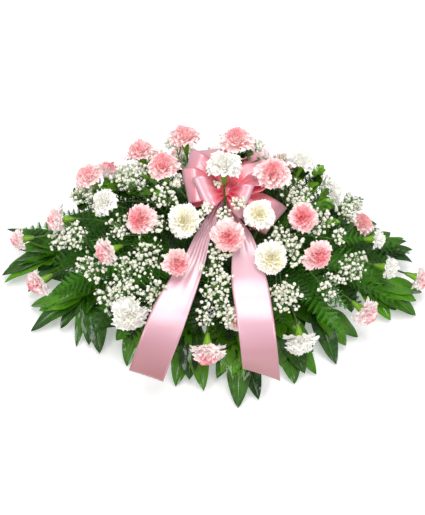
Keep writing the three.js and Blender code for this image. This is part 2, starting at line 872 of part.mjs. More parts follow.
// A spray: florets on twigs that leave the end of a branch one after another
function spray(middle, out, way, random) {
  const tip = way.getPointAt(1);
  const heel = way.getPointAt(1 - 1 / SPRAY.steps);
  const length = tip.distanceTo(heel);
  const heads = [];
  const twigs = [];
  for (let attempt = 0; attempt < TRIES.floret && heads.length < SPRAY.florets; attempt += 1) {
    const away = sideStep(SPRAY.spread, random);
    away.addScaledVector(out, -SPRAY.flatness * away.dot(out));
    const head = middle.clone().add(away);
    const share = (SPRAY.twigStart + SPRAY.twigStep * heads.length) / length;
    const foot = tip.clone().lerp(heel, share);
    const apart = heads.every((other) => other.distanceTo(head) > ROOM.betweenFlorets);
    const twig = new THREE.LineCurve3(foot, head);
    if (apart && isClear(head, ROOM.floret) && wayIsClear(twig, ROOM.twig)) {
      heads.push(head);
      twigs.push(floret(foot, head));
    }
  }
  return twigs;
}

function breathBunch({ hole, sprays }, seed) {
  const random = seeded(seed);
  const mouth = point(hole[0], hole[1], FOAM.top);
  const bottom = mouth.clone().addScaledVector(UP, -BREATH.sunk);
  const fork = mouth.clone().addScaledVector(UP, BREATH.fork);
  addHole(bottom, mouth, BREATH.stem);
  const pieces = [rod(new THREE.LineCurve3(bottom, fork), BREATH.stem, BREATH.stem, 4, 1)];
  for (const place of sprays) {
    const middle = point(...place);
    const out = middle.clone().sub(point(middle.x / 2, 0, FOAM.top / 2)).normalize();
    const way = sprayWay(fork, middle, out, random);
    pieces.push(rod(way, BREATH.branch, BREATH.branchTip, 3, SPRAY.steps));
    pieces.push(...spray(middle, out, way, random));
  }
  return join(pieces);
}

// Holder
function roundedBlock(length, depth, bottom, top, corner) {
  const shape = new THREE.Shape();
  const x = length / 2 - corner;
  const y = depth / 2 - corner;
  shape.absarc(x, y, corner, 0, Math.PI / 2);
  shape.absarc(-x, y, corner, Math.PI / 2, Math.PI);
  shape.absarc(-x, -y, corner, Math.PI, 1.5 * Math.PI);
  shape.absarc(x, -y, corner, 1.5 * Math.PI, 2 * Math.PI);
  const settings = { depth: top - bottom, bevelEnabled: false, curveSegments: 1 };
  return new THREE.ExtrudeGeometry(shape, settings).translate(0, 0, bottom);
}

function saddlePad() {
  return roundedBlock(PAD.length, PAD.depth, 0, PAD.thickness, PAD.corner);
}

const TRAY_BOTTOM = PAD.thickness + CLEARANCE;
const TRAY_FLOOR = TRAY_BOTTOM + TRAY.wall;

function saddleTray() {
  const top = TRAY_BOTTOM + TRAY.height;
  const corner = TRAY.corner - TRAY.wall;
  const inner = [TRAY.length - 2 * TRAY.wall, TRAY.depth - 2 * TRAY.wall];
  const outside = solidOf(roundedBlock(TRAY.length, TRAY.depth, TRAY_BOTTOM, top, TRAY.corner));
  const inside = solidOf(roundedBlock(...inner, TRAY_FLOOR, top + 10, corner));
  return geometryOf(outside.subtract(inside));
}

// The foam's outline from front to back, or one round it: half its depth, its top, bevel and foot
function overFoam(y, top, bevel, foot) {
  return [
    [-y, foot],
    [-y, top - bevel],
    [-y + bevel, top],
    [y - bevel, top],
    [y, top - bevel],
    [y, foot],
  ];
}

// Extrudes an outline given in Y and Z along X
function extrudeAlongX(outline, middle, length) {
  const shape = new THREE.Shape(outline.map(([y, z]) => new THREE.Vector2(y, z)));
  const geometry = new THREE.ExtrudeGeometry(shape, { depth: length, bevelEnabled: false });
  geometry.translate(0, 0, middle - length / 2);
  return geometry.applyMatrix4(new THREE.Matrix4().makeBasis(point(0, 1, 0), UP, point(1, 0, 0)));
}

// The foam is cut with every stem's hole, so it is made after all that stands in it
function foamBlock() {
  const outline = overFoam(FOAM.depth / 2, FOAM.top, FOAM.bevel, TRAY_FLOOR + CLEARANCE);
  const block = solidOf(extrudeAlongX(outline, 0, FOAM.length));
  return geometryOf(block.subtract(wasm.Manifold.union(holes)));
}

// Tape goes over the foam from front to back and down its sides to the tray's rim
function anchorTape(place) {
  const y = FOAM.depth / 2 + CLEARANCE;
  const top = FOAM.top + CLEARANCE;
  const bevel = FOAM.bevel + CLEARANCE;
  const foot = TRAY_BOTTOM + TRAY.height + CLEARANCE;
  const thick = TAPE.thickness;
  const inside = overFoam(y, top, bevel, foot);
  const outside = overFoam(y + thick, top + thick, bevel + (2 - Math.SQRT2) * thick, foot);
  return extrudeAlongX([...inside, ...outside.reverse()], place, TAPE.width);
}

// The finished casket spray
const casketSpray = new THREE.Group();

function add(name, geometry, colour, roughness) {
  const material = new THREE.MeshStandardMaterial({ color: COLOURS[colour], roughness, metalness: 0 });
  const mesh = new THREE.Mesh(geometry, material);
  mesh.name = name;
  casketSpray.add(mesh);
  return mesh;
}

BLOOMS.forEach((bloom, i) => {
  const number = String(i + 1).padStart(2, "0");
  const mesh = add(`carnation_${number}_${bloom.kind}`, headGeometry(bloom.radius), bloom.kind, 0.7);
  mesh.position.copy(headBase(bloom));
  mesh.quaternion.setFromUnitVectors(point(0, 1, 0), bloom.facing);
  takeSpace(mesh);
});

for (const row of Object.keys(ROWS)) {
  takeSpace(add(`stems_and_fern_${row}`, greensOf(row), "foliage", 0.55));
}

for (const [name, bunch] of Object.entries(PALMS)) {
  takeSpace(add(name, palmBunch(bunch), "palm", 0.3));
}

takeSpace(add("bow_loops", join([bowKnot(), ...LOOPS.map(bowLoop)]), "satin", 0.3));
for (const [name, tail] of Object.entries(TAILS)) {
  takeSpace(add(name, bowTail(tail), "satin", 0.3));
}
takeSpace(add("bow_pick", bowPick(), "pick", 0.8));
takeSpace(add("anchor_tape_left", anchorTape(-TAPE.place), "tape", 0.5));
takeSpace(add("anchor_tape_right", anchorTape(TAPE.place), "tape", 0.5));

Object.entries(BREATHS).forEach(([name, bunch], i) => {
  takeSpace(add(name, breathBunch(bunch, 31 + i), "breath", 0.8));
});

add("foam_block", foamBlock(), "foam", 0.95);
add("saddle_tray", saddleTray(), "tray", 0.5);
add("saddle_pad", saddlePad(), "pad", 0.9);

export default casketSpray;
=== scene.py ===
"""Casket spray: a long, low mound of carnations, baby's breath, fern and palm leaves with a satin bow.

Tables and shapes are in millimetres, +X to the viewer's right, +Y to the back and +Z up, with the origin
under the middle of the pad. Meshes are turned into metres as they are made. The camera, the lights and
the floor are in metres from the start.
"""

import bpy
import numpy as np
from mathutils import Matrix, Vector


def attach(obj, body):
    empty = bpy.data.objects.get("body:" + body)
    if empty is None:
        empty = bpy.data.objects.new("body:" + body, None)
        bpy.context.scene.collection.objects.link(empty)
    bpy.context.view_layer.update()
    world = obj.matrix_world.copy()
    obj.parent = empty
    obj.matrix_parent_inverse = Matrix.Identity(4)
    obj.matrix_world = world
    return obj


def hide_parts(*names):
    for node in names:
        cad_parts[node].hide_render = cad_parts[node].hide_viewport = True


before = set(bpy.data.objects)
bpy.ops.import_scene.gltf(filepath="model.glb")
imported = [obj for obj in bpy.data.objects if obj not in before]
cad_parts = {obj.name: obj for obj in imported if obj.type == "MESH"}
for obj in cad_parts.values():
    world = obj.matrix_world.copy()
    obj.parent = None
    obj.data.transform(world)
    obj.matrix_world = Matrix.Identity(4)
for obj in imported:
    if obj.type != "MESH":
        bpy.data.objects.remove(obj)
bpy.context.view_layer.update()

MM = 0.001
UP = np.array([0.0, 0.0, 1.0])
NEARLY_UPRIGHT = 0.05
STRAIGHT_UP = 0.999
SMOOTH_ANGLE = np.radians(100)
CURVE_POINTS = 60
SEEDS = {"heads": 100, "fern": 7, "palm": 11, "breath": 23}

# Marks of the pieces that have the same ones all over: the place along, the place across and a chance,
# and for the knot the three that a ribbon carries, which give it mostly the painted shade of the gathers
PLAIN_MARKS = {
    "stem": (0.5, 0.5, 0.1), "sprig": (0.5, 0.3, 0.4), "stalk": (0.5, 0.3, 0.6), "knot": (0.5, 0.2, 0.35),
    "branch": (0.5, 0.5, 0.3), "fork": (0.5, 0.5, 0.4), "twig": (0.5, 0.5, 0.5),
}

# Holder and stems. A calyx's rings are given by their share of its length and their radius.
FOAM = {"length": 464, "depth": 134, "top": 110}
ROWS = {"front": -38, "middle": 0, "back": 38}
ROW_REACH = 178
STEM = {
    "radius": 2.1, "sides": 8, "points": 40, "sunk": 40, "neck": 7, "lean": 0.4, "rise": 0.28,
    "arrival": 0.32,
}
STEM_JOINTS = {"apart": 62, "start": 20, "swelling": 1.1, "length": 3.5}
CALYX_RINGS = [(0, 2.2), (0.07, 4.0), (0.16, 4.3), (0.5, 6.0), (0.8, 7.6), (1.0, 9.2)]
# A calyx's colour goes from darker green at the stem to paler at its rim, by the share paling
CALYX = {"length": 25, "sides": 10, "teeth": 3.6, "sunk": 4, "paling": (0.35, 0.85)}

# Carnation heads: lengths are shares of the head's radius, and pairs are the least and the most
HEAD = {"middle": 0.56, "rows": 5, "columns": 15, "tooth": 0.03, "round": 0.15, "cup": 0.07, "thickness": 0.3}
PETAL = {
    "claw_out": 0.08, "claw_up": 0.06, "belly_out": 0.38, "belly_up": 0.72, "claw_width": 0.14, "fan": 0.8,
    "crowding": 0.8, "waves": 2.4, "phase": 7, "small_waves": 4.3, "small_phase": 9, "small_wave": 0.4,
    "tilt": 0.1, "twist_rise": 0.7, "reaches": (0.76, 1.1), "heights": 0.24, "turns": 0.7,
    "widths": (0.85, 1.15), "ruffles": (0.8, 1.6),
}
HEAD_LAYERS = [
    {"petals": 6, "reach": 1.00, "height": 0.16, "width": 0.58, "ruffle": 0.07, "arch": 0.30, "twist": 0.2},
    {"petals": 7, "reach": 1.05, "height": 0.46, "width": 0.54, "ruffle": 0.09, "arch": 0.20, "twist": 0.3},
    {"petals": 7, "reach": 0.93, "height": 0.73, "width": 0.52, "ruffle": 0.11, "arch": 0.14, "twist": 0.4},
    {"petals": 7, "reach": 0.74, "height": 0.93, "width": 0.46, "ruffle": 0.13, "arch": 0.08, "twist": 0.5},
    {"petals": 6, "reach": 0.52, "height": 1.05, "width": 0.40, "ruffle": 0.14, "arch": 0.04, "twist": 0.7},
    {"petals": 6, "reach": 0.30, "height": 1.12, "width": 0.34, "ruffle": 0.13, "arch": 0.0, "twist": 0.9},
    {"petals": 4, "reach": 0.10, "height": 1.12, "width": 0.28, "ruffle": 0.12, "arch": 0.0, "twist": 1.1},
]

# Palm leaflets, broad-leaved sprigs and the stalks that carry them
LEAFLET = {
    "broad": 3.1, "widens": 0.6, "narrows": 0.85, "stub": 0.5, "arch": 0.12, "fold": 0.16, "thickness": 0.5,
    "wave": 2.6, "waves": 3.2, "edge": 1.5, "veins": 9, "vein": 0.35, "rib": 1.2, "rib_width": 0.09,
}
PALM_GRID = (18, 13)
SPRIG_GRID = (12, 7)
RACHIS = {"radius": 2.2, "tip": 1.2, "sides": 6, "points": 40, "last_leaf": 0.96}
BETWEEN = {"reach": (0.86, 0.98), "lift": (4, 14), "width": 0.5}
ABOVE = {"reach": (0.55, 0.72), "lift": (22, 40), "width": 0.95, "base": 0.55}
SPRIG = {
    "foot_out": 2.6, "rise": 0.6, "points": 24, "sides": 5, "turns": [-70, -35, 0, 35, 70], "stray": 0.12,
    "lengths": (0.8, 1.1), "width": 0.5,
}

# Fern: a frond's own measures, then how the fill of fronds is spread through the mound
FROND = {
    "pinnae": 15, "lobes": 6, "notch": 0.16, "first": 0.3, "last": 0.985, "rachis": 1.2, "rachis_tip": 0.4,
    "rachis_points": 14, "rachis_sides": 4, "thickness": 0.4, "sunk": 30, "droop": 0.35, "points": 60,
}
PINNA = {
    "broad": 0.75, "tip": 0.2, "narrows": 0.6, "least": 3, "lengths": (0.9, 1.1), "swept": 0.45,
    "spread": 0.95, "lobe_swept": 0.35, "fall": 0.28, "fall_least": 0.4, "edge_fall": 0.3, "skew": 0.2,
    "longest_from": 0.26, "longest_to": 0.96, "longest_over": 0.69,
}
FILL = {
    "fronds": 66, "half_length": 400, "half_depth": 250, "height": 252, "base": 46, "lowest": 0.06,
    "rise": 0.9, "reaches": (0.98, 0.9, 0.82, 0.74, 0.66, 0.58), "hole_along": 0.42, "hole_deep": 0.3,
    "farthest": (190, 50), "hole_sunk": 4, "sunk": 20, "lean": 1.1, "arch": 0.392, "points": 40,
    "free_from": 8, "clearance": 12, "row_border": 60, "widths": (64, 92),
}

# Baby's breath: florets and buds, twigs, and how a spray is filled. The numbers of florets and buds are
# for each square millimetre of a spray's own radius squared.
FLORET = {"radius": 4.4, "gap": 6.2, "flatness": 0.45, "florets": 0.032, "fewest": 16, "buds": 0.014}
# A floret's drawn-in points keep the breath's Deep grey-green: painted shade in its hollows
PUFF = {
    "rings": 4, "sides": 6, "first_ring": 0.5, "turned": 0.5, "out": 1.1, "in": 0.7, "pole": 0.8,
    "sizes": (0.6, 1.08), "pale_from": 0.7, "pale_over": 0.35,
}
TWIG = {"stem": 1.5, "branch": 1.2, "branch_end": 0.9, "fork": 0.7, "twig": 0.45, "bud": 1.6}
TWIG_SIDES = {"stem": 5, "branch": 4, "fork": 3, "twig": 3}
SPRAY = {
    "fork": 34, "sunk": 30, "foot": 1.1, "rise": 0.45, "lean": 0.6, "branch_points": 12, "tried": 500,
    "fullness": 0.45, "clearance": 0.6, "least": 3, "forks": 6, "fork_depth": 0.45, "fork_spread": 0.33,
    "sag": 3,
}

# Satin ribbon. Darkens is the share of a tail's length from which painted shade darkens it to the cut end
RIBBON = {
    "width": 72, "thickness": 0.35, "columns": 15, "pinch": 18, "loop_gather": 70, "slanted": 90,
    "darkens": 0.66, "crown": 2.0, "loop_points": 64, "tail_points": 110,
}
PLEATS = {"count": 3, "depth": 6.0, "tail_depth": 3.0, "fade": 1.5, "start": 12}
BOW = {"middle": np.array([20.0, -6.0, 300.0]), "lean": 50, "knot": 13}
HALF_LOOP = [(0.02, 0.05), (0.35, 0.45), (0.8, 1), (1, 0)]
KNOT = {
    "sides": 36, "rings": 13, "folds": 3, "fold": 0.06, "squareness": 0.86, "end": 0.05, "half": 0.8,
    "pole": 0.84,
}

# What later pieces keep clear of: balls at two heights in each head, a ball in front of each head that
# the viewer sees, and the ribbon
HEAD_ROOM = [(-0.05, 0.965), (0.45, 0.815)]
VIEW_ROOM = {"ahead": 1.1, "radius": 0.75, "backmost": 150}
RIBBON_ROOM = 5.0


def towards(azimuth, elevation):
    """A direction: azimuth 0 is to the viewer and grows to the viewer's right, elevation is upwards."""
    a, e = np.radians([azimuth, elevation])
    return np.array([np.sin(a) * np.cos(e), -np.cos(a) * np.cos(e), np.sin(e)])


# Carnations: kind, middle of the head, azimuth and elevation of the way it faces, its radius, the row it
# stands in and, where its stem is led aside, how far
BLOOMS = [
    ("pink", (-67, 115, 337), (-171, 60), 33, "back"),
    ("pink", (40, 100, 342), (180, 68), 36, "back"),
    ("pink", (-160, 95, 316), (-148, 57), 31, "back"),
    ("pink", (-109, 20, 347), (-150, 73), 34, "middle"),
    ("pink", (-269, 60, 278), (-114, 57), 29, "middle"),
    ("blush", (-233, 108, 244), (163, 54), 28, "back"),
    ("white", (-228, -30, 298), (-74, 41), 28, "middle"),
    ("white", (13, 0, 370), (180, 68), 36, "front", (25, -150, 0)),
    ("pink", (111, 5, 342), (47, 82), 36, "middle"),
    ("white", (175, 75, 307), (146, 54), 31, "back"),
    ("cream", (81, -85, 319), (-20, 66), 29, "front", (-20, -75, 0)),
    ("cream", (-64, -100, 316), (15, 49), 33, "front"),
    ("pink", (20, -135, 308), (14, 27), 33, "front"),
    ("pink", (-79, -165, 266), (24, 15), 29, "front", (-30, 0, 0)),
    ("pink", (-152, -90, 310), (-26, 34), 31, "front"),
    ("blush", (-220, -130, 257), (-61, -4), 28, "front"),
    ("blush", (-336, 0, 208), (-83, 1), 29, "middle"),
    ("blush", (-429, 15, 127), (-76, 1), 24, "middle"),
    ("blush", (-383, -75, 90), (-58, -12), 31, "front"),
    ("white", (-179, -215, 160), (-7, 10), 36, "front"),
    ("blush", (-21, -270, 111), (-2, -30), 36, "front"),
    ("white", (167, -240, 103), (6, -30), 34, "front"),
    ("pink", (199, -130, 245), (31, 19), 32, "front"),
    ("pink", (169, -80, 302), (30, 46), 32, "front"),
    ("cream", (105, -150, 263), (-6, 36), 31, "front"),
    ("white", (249, 55, 226), (95, 17), 28, "middle"),
    ("pink", (317, 60, 132), (114, 44), 28, "back"),
    ("white", (341, -15, 164), (84, 8), 21, "middle"),
    ("white", (366, -60, 122), (76, 1), 25, "middle"),
    ("blush", (441, -50, 73), (68, -5), 26, "front"),
    ("blush", (309, -160, 97), (49, -12), 31, "front"),
    ("blush", (42, -195, 127), (0, 20), 28, "front"),
    ("white", (0, 206, 188), (180, 30), 33, "back"),
    ("pink", (-150, 195, 190), (-160, 26), 32, "back"),
    ("pink", (150, 190, 182), (160, 26), 33, "back"),
    ("white", (-290, 150, 158), (-135, 22), 31, "back"),
    ("pink", (-75, 252, 150), (-170, 10), 33, "back"),
    ("blush", (95, 250, 148), (168, 10), 32, "back"),
]

# Fern fronds at the foot of the mound: row, tip and width
FERNS = [
    ("front", (-335, -120, 118), 66),
    ("front", (-250, -205, 96), 70),
    ("front", (-95, -262, 84), 70),
    ("front", (104, -248, 62), 44),
    ("front", (248, -205, 96), 70),
    ("front", (372, -118, 84), 60),
    ("middle", (-425, 62, 104), 64),
    ("middle", (420, 16, 84), 44),
    ("back", (-318, 178, 92), 68),
    ("back", (-150, 268, 84), 70),
    ("back", (20, 290, 84), 66),
    ("back", (170, 262, 84), 70),
    ("back", (330, 170, 92), 68),
]

# Palm bunches: the hub in the foam, then each stalk's end with its leaflets by the place of their
# base along the stalk, their tip and their width
PALMS = {
    "palm_left": ((-196, 0, 56), [
        ((-352, 28, 78), [
            (0.78, (-477, 106, 60), 26), (0.92, (-452, 60, 46), 30), (1.0, (-482, 6, 16), 36),
            (0.72, (-400, -10, 30), 34), (0.6, (-380, 118, 52), 36),
        ]),
        ((-296, -96, 60), [
            (1.0, (-408, -77, 12), 40), (0.94, (-402, -142, 7), 34), (0.86, (-300, -182, 7), 20),
            (0.74, (-249, -200, 8), 42),
        ]),
    ]),
    "palm_front_left": ((-78, -36, 54), [
        ((-166, -140, 54), [
            (1.0, (-190, -232, 7), 40), (0.86, (-252, -158, 40), 32), (0.8, (-128, -232, 24), 34),
        ]),
        ((-52, -168, 66), [
            (1.0, (-86, -282, 7), 42), (0.92, (-28, -296, 12), 40),
        ]),
    ]),
    "palm_front_right": ((84, -36, 54), [
        ((44, -206, 50), [
            (1.0, (42, -333, 6), 44), (0.9, (84, -316, 10), 38), (0.72, (8, -268, 34), 32),
        ]),
        ((142, -180, 52), [
            (1.0, (160, -276, 7), 42), (0.84, (206, -256, 12), 36), (0.76, (112, -252, 26), 30),
        ]),
        ((224, -128, 54), [
            (1.0, (302, -158, 8), 40), (0.88, (250, -228, 8), 38),
        ]),
    ]),
    "palm_right": ((196, 0, 56), [
        ((330, -56, 62), [
            (1.0, (454, -41, 14), 44), (0.96, (434, -100, 8), 46), (0.84, (376, -116, 12), 40),
            (0.7, (360, -12, 40), 34),
        ]),
        ((352, 36, 76), [
            (1.0, (421, 78, 60), 22), (0.98, (440, 54, 48), 22), (0.96, (438, 28, 36), 24),
            (0.7, (372, 118, 48), 34),
        ]),
    ]),
    "palm_back_left": ((-90, 36, 54), [
        ((-262, 122, 58), [
            (1.0, (-372, 172, 10), 42), (0.86, (-292, 222, 8), 42), (0.74, (-330, 86, 34), 34),
        ]),
        ((-128, 178, 58), [
            (1.0, (-152, 296, 8), 44), (0.86, (-218, 262, 10), 40), (0.8, (-76, 272, 30), 34),
        ]),
    ]),
    "palm_back_right": ((90, 36, 54), [
        ((262, 122, 58), [
            (1.0, (376, 166, 10), 42), (0.86, (300, 220, 8), 42), (0.74, (330, 84, 34), 34),
        ]),
        ((138, 180, 58), [
            (1.0, (160, 296, 8), 44), (0.86, (226, 258, 10), 40), (0.8, (92, 276, 30), 34),
        ]),
        ((14, 186, 60), [
            (1.0, (6, 310, 8), 44), (0.86, (-44, 286, 14), 34),
        ]),
    ]),
}

# Leaflets that close the ring between the bunches: bunch, stalk, place along it, tip and width
RING_LEAVES = [
    ("palm_left", 0, 0.7, (-418, -44, 20), 34),
    ("palm_left", 1, 0.6, (-372, -34, 62), 32),
    ("palm_front_right", 0, 0.6, (10, -226, 58), 38),
    ("palm_front_right", 0, 0.66, (-12, -246, 38), 34),
    ("palm_front_right", 2, 0.8, (226, -146, 34), 36),
    ("palm_front_right", 2, 0.9, (262, -178, 14), 30),
    ("palm_right", 0, 0.6, (290, -110, 32), 34),
    ("palm_right", 1, 0.7, (392, 4, 54), 34),
    ("palm_left", 0, 0.9, (-468, 24, 26), 30),
    ("palm_left", 0, 0.9, (-475, -14, 14), 26),
    ("palm_left", 1, 0.5, (-358, -72, 56), 36),
    ("palm_front_right", 0, 0.4, (-30, -196, 40), 44),
    ("palm_front_right", 0, 0.5, (0, -200, 44), 36),
    ("palm_front_left", 1, 0.7, (-40, -180, 52), 36),
    ("palm_front_right", 2, 0.5, (176, -172, 34), 44),
    ("palm_front_right", 1, 0.8, (192, -180, 36), 40),
    ("palm_front_right", 0, 0.7, (-1, -270, 18), 40),
    ("palm_front_right", 0, 0.55, (-16, -226, 26), 46),
    ("palm_front_right", 1, 0.75, (202, -206, 22), 44),
    ("palm_front_left", 1, 0.6, (-62, -240, 20), 40),
]

# Broad-leaved sprigs between the heads: row, foot, azimuth and elevation of the way they point, length
SPRIGS = [
    ("back", (-149, 88, 288), (-20, 40), 26),
    ("back", (-215, 84, 240), (30, 60), 34),
    ("middle", (-128, 12, 300), (-60, 50), 34),
    ("middle", (-286, 50, 205), (-70, 50), 40),
    ("back", (178, 76, 262), (60, 60), 34),
    ("back", (206, 84, 250), (90, 50), 38),
    ("middle", (188, 40, 250), (60, 50), 42),
    ("middle", (222, 50, 218), (70, 40), 40),
    ("middle", (205, 14, 226), (40, 40), 44),
    ("front", (230, -30, 226), (60, 30), 28),
    ("middle", (-206, 56, 232), (-30, 60), 44),
    ("back", (-196, 84, 236), (20, 60), 44),
    ("middle", (-76, 50, 300), (-20, 60), 44),
    ("middle", (50, 70, 306), (0, 70), 40),
    ("back", (48, 96, 296), (20, 70), 34),
    ("middle", (-170, 30, 262), (-40, 60), 44),
    ("back", (140, 60, 270), (30, 60), 44),
    ("middle", (262, 40, 184), (60, 40), 30),
]

# Bow loops: the way to the middle of the fold and the fold's own direction, both as across, up and
# out of the bow's face, then how far the loop stands open
LOOPS = [
    ((-85, 9, 8), (-15, 68, -14), 19),
    ((-82, 53, -14), (16, 64, -10), 14),
    ((-30, 88, -24), (58, 6, -26), 5),
    ((-54, -8, 38), (-30, 63, -2), 14),
    ((84, 62, -40), (-46, 50, -16), 6),
    ((72, 26, 0), (-12, 35, -61), 7),
    ((100, -60, -16), (45, 47, -20), 10),
    ((39, -23, 40), (24, 66, 0), 14),
]

# Tails: the middle line from the knot down over the mound, how far the gathers reach along it, and
# the slant of the cut end
TAILS = {
    "bow_tail_left": ([
        (11, -13.6, 290.4), (-2, -34, 280), (-12, -58, 272), (-31, -95, 256), (-44, -130, 238),
        (-67, -180, 219), (-90, -230, 201), (-111, -275, 173), (-141, -319, 103),
    ], 300, 0),
    "bow_tail_right": ([
        (27, -14, 287), (25, -36, 271), (35, -60, 264), (46, -92, 266), (54, -122, 254),
        (62, -172, 221), (68, -205, 204), (75, -250, 181), (81, -285, 148), (89, -319, 80),
    ], 210, 36),
}

# Baby's breath: the bunch's hole in the foam, then each of its sprays by its middle and its radius
BREATHS = {
    "babys_breath_left": ((-112, -19), [
        (-106, -60, 345, 34), (-168, 20, 316, 40), (-331, -20, 180, 36), (-252, -125, 215, 40),
        (-221, -170, 166, 34), (-137, -140, 258, 42), (-130, -196, 200, 40), (-290, -60, 226, 34),
        (-177, -159, 237, 36), (-190, -186, 200, 36), (-230, -25, 281, 26), (-198, -84, 278, 30),
        (-77, -160, 263, 24), (-116, -92, 300, 24),
    ]),
    "babys_breath_centre": ((-14, -19), [
        (-82, 6, 322, 20), (-10, -172, 250, 26), (13, -215, 190, 26), (40, -66, 330, 17), (14, -90, 320, 19),
        (-4, -14, 332, 11), (-22, -78, 330, 12), (-38, -84, 312, 14),
        (1, -151, 277, 26), (9, -190, 236, 26), (-11, -206, 215, 28), (-23, -231, 181, 24),
        (21, -233, 177, 26),
    ]),
    "babys_breath_right": ((112, -19), [
        (155, -5, 296, 40), (129, -110, 275, 36), (143, -195, 190, 36), (272, 15, 216, 30),
        (226, -160, 186, 30), (274, -115, 186, 36), (195, -70, 262, 26), (300, -60, 150, 22),
        (146, -131, 264, 34), (127, -190, 210, 32), (216, -57, 270, 24), (175, -42, 295, 28),
        (246, -78, 245, 18),
    ]),
    "babys_breath_back": ((-20, 19), [
        (-86, 125, 310, 26), (82, 104, 328, 16), (-279, 45, 251, 34), (-64, 190, 210, 36),
        (82, 180, 220, 38), (-215, 150, 190, 38), (230, 150, 170, 38), (8, 248, 150, 40),
        (-140, 140, 250, 34), (140, 120, 262, 28), (-290, 110, 180, 34), (40, 70, 320, 14),
        (-160, 225, 130, 38), (170, 210, 130, 38), (300, 90, 160, 30), (-200, 60, 284, 30),
    ]),
}

# Colours and finishes. A petal's colours go from Deep to Pale; the rest is said at each node group.
PETAL_TONES = {
    "pink": {"Deep": "f57686", "Pale": "fbe0df", "Edge": 1.5, "Heart": 0.5, "Outer": 0.8},
    "blush": {"Deep": "ee7d90", "Pale": "f9efed", "Edge": 1.0, "Heart": 0.8, "Outer": 0.8},
    "white": {"Deep": "ece8d4", "Pale": "f8f7f4", "Edge": 0.7, "Heart": 0.2, "Outer": 0.4},
    "cream": {"Deep": "f8efbe", "Pale": "f9f7f0", "Edge": 0.8, "Heart": 0.35, "Outer": 0.6},
}
PETAL_RELIEF = (0.3, 0.3)
# The petals glow a little in their own colour: painted light that stands for light shining through them
PETAL_FINISH = {"Roughness": 0.62, "Emission Strength": 0.09}

# Each other finish: its material's name, its node group, what it gives the group, the strength and the
# depth in millimetres of its relief, and the shader's own constants
FINISHES = {
    "palm": ("palm leaf", "leaf",
             {"Dark": "0c3a04", "Light": "62ac10", "Rib": "84ba3c", "Veins": 46.0, "Swell": 7.0}, (0.5, 0.5),
             {"Specular IOR Level": 0.25, "Coat Weight": 0.6, "Coat Roughness": 0.08}),
    "fern": ("leatherleaf fern", "leaf",
             {"Dark": "0a2406", "Light": "45851a", "Rib": "4c8426", "Veins": 6.0}, (0.3, 0.3),
             {"Specular IOR Level": 0.25}),
    "stem": ("stem and calyx", "leaf",
             {"Dark": "1f3f10", "Light": "86ba2c", "Rib": "8fbf4a", "Chance": 1.0}, (0.2, 0.2),
             {"Specular IOR Level": 0.3}),
    "sprig": ("broad leaf", "leaf",
              {"Dark": "173f0a", "Light": "6fa822", "Rib": "86b23c", "Chance": 0.9, "Swell": 5.0}, (0.3, 0.3),
              {"Specular IOR Level": 0.3, "Coat Weight": 0.3, "Coat Roughness": 0.12}),
    "twig": ("breath twig", "leaf",
             {"Dark": "4f7a3a", "Light": "86a860", "Rib": "86a860"}, (0.1, 0.1), {}),
    # Baby's breath: its Deep grey-green is painted shade in the florets' hollows, and its glow is painted
    # light
    "breath": ("breath floret", "petal",
               {"Deep": "c4c8a4", "Pale": "fefcf5", "Edge": 0.8, "Heart": 0.0, "Outer": 0.0}, (0.2, 0.2),
               {"Roughness": 0.7, "Emission Strength": 0.16}),
    # The satin glows a little in its own colour: painted light that stands for light shining through the
    # ribbon
    "satin": ("satin ribbon", "satin", {}, (0.12, 0.6),
              {"Specular IOR Level": 0.8, "Coat Weight": 0.9, "Coat Roughness": 0.31, "Coat IOR": 1.8,
               "Emission Strength": 0.05}),
    "foam": ("wet foam", "grain",
             {"Base": "2c5232", "Tone": "4d7a4c", "Size": 600.0}, (0.8, 0.8), {"Roughness": 0.95}),
    "tray": ("saddle tray plastic", "grain",
             {"Base": "22402a", "Tone": "2d5136", "Size": 300.0}, (0.1, 0.2), {"Roughness": 0.4}),
    "pad": ("soft pad", "grain",
            {"Base": "303030", "Tone": "4a4a4a", "Size": 900.0}, (0.6, 0.5), {"Roughness": 0.9}),
    "tape": ("anchor tape", "grain",
             {"Base": "2a5a34", "Tone": "3a6d42", "Size": 500.0}, (0.4, 0.2), {"Roughness": 0.5}),
    "pick": ("wooden pick", "grain",
             {"Base": "4b6a34", "Tone": "7a8f58", "Size": 160.0}, (0.4, 0.2), {"Roughness": 0.8}),
}

# The nodes that stay as they are, and their finishes
HOLDER_FINISHES = {
    "foam_block": "foam", "saddle_tray": "tray", "saddle_pad": "pad", "anchor_tape_left": "tape",
    "anchor_tape_right": "tape", "bow_pick": "pick",
}

# Camera and lights, in metres. The focal length and the picture's height are in pixels of the photo, and
# the sensor's height is in millimetres. A light has its name, place, target, size and power in watts.
CAMERA = {
    "target": np.array([-0.010, 0.0421, 0.0354]), "away": 2.3, "elevation": 50, "focal": 1022,
    "picture": 515, "sensor": 36,
}
LIGHTS = [
    ("top", (0.1, -0.35, 2.6), (0, 0, 0.15), 1.4, 43),
    ("left box", (-1.5, -1.5, 1.9), (0, 0, 0.2), 0.8, 19),
    ("right box", (1.4, -1.5, 1.8), (0, 0, 0.2), 0.7, 15),
]
FLOOR = {"reach": 6.0, "grey": 0.85, "glow": 0.35, "roughness": 0.9}
SURROUND = 0.32


# Lines and directions

def unit(vectors):
    """Vectors divided by their lengths."""
    return vectors / np.maximum(np.linalg.norm(vectors, axis=-1, keepdims=True), 1e-9)


def level(direction):
    """The level part of a direction, or +X where there is none."""
    flat = np.array([direction[0], direction[1], 0.0])
    return unit(flat) if np.linalg.norm(flat) > 1e-3 else np.array([1.0, 0.0, 0.0])


def between(ends, share):
    """The value that lies at a share of the way from the first to the second of two ends."""
    return ends[0] + (ends[1] - ends[0]) * share


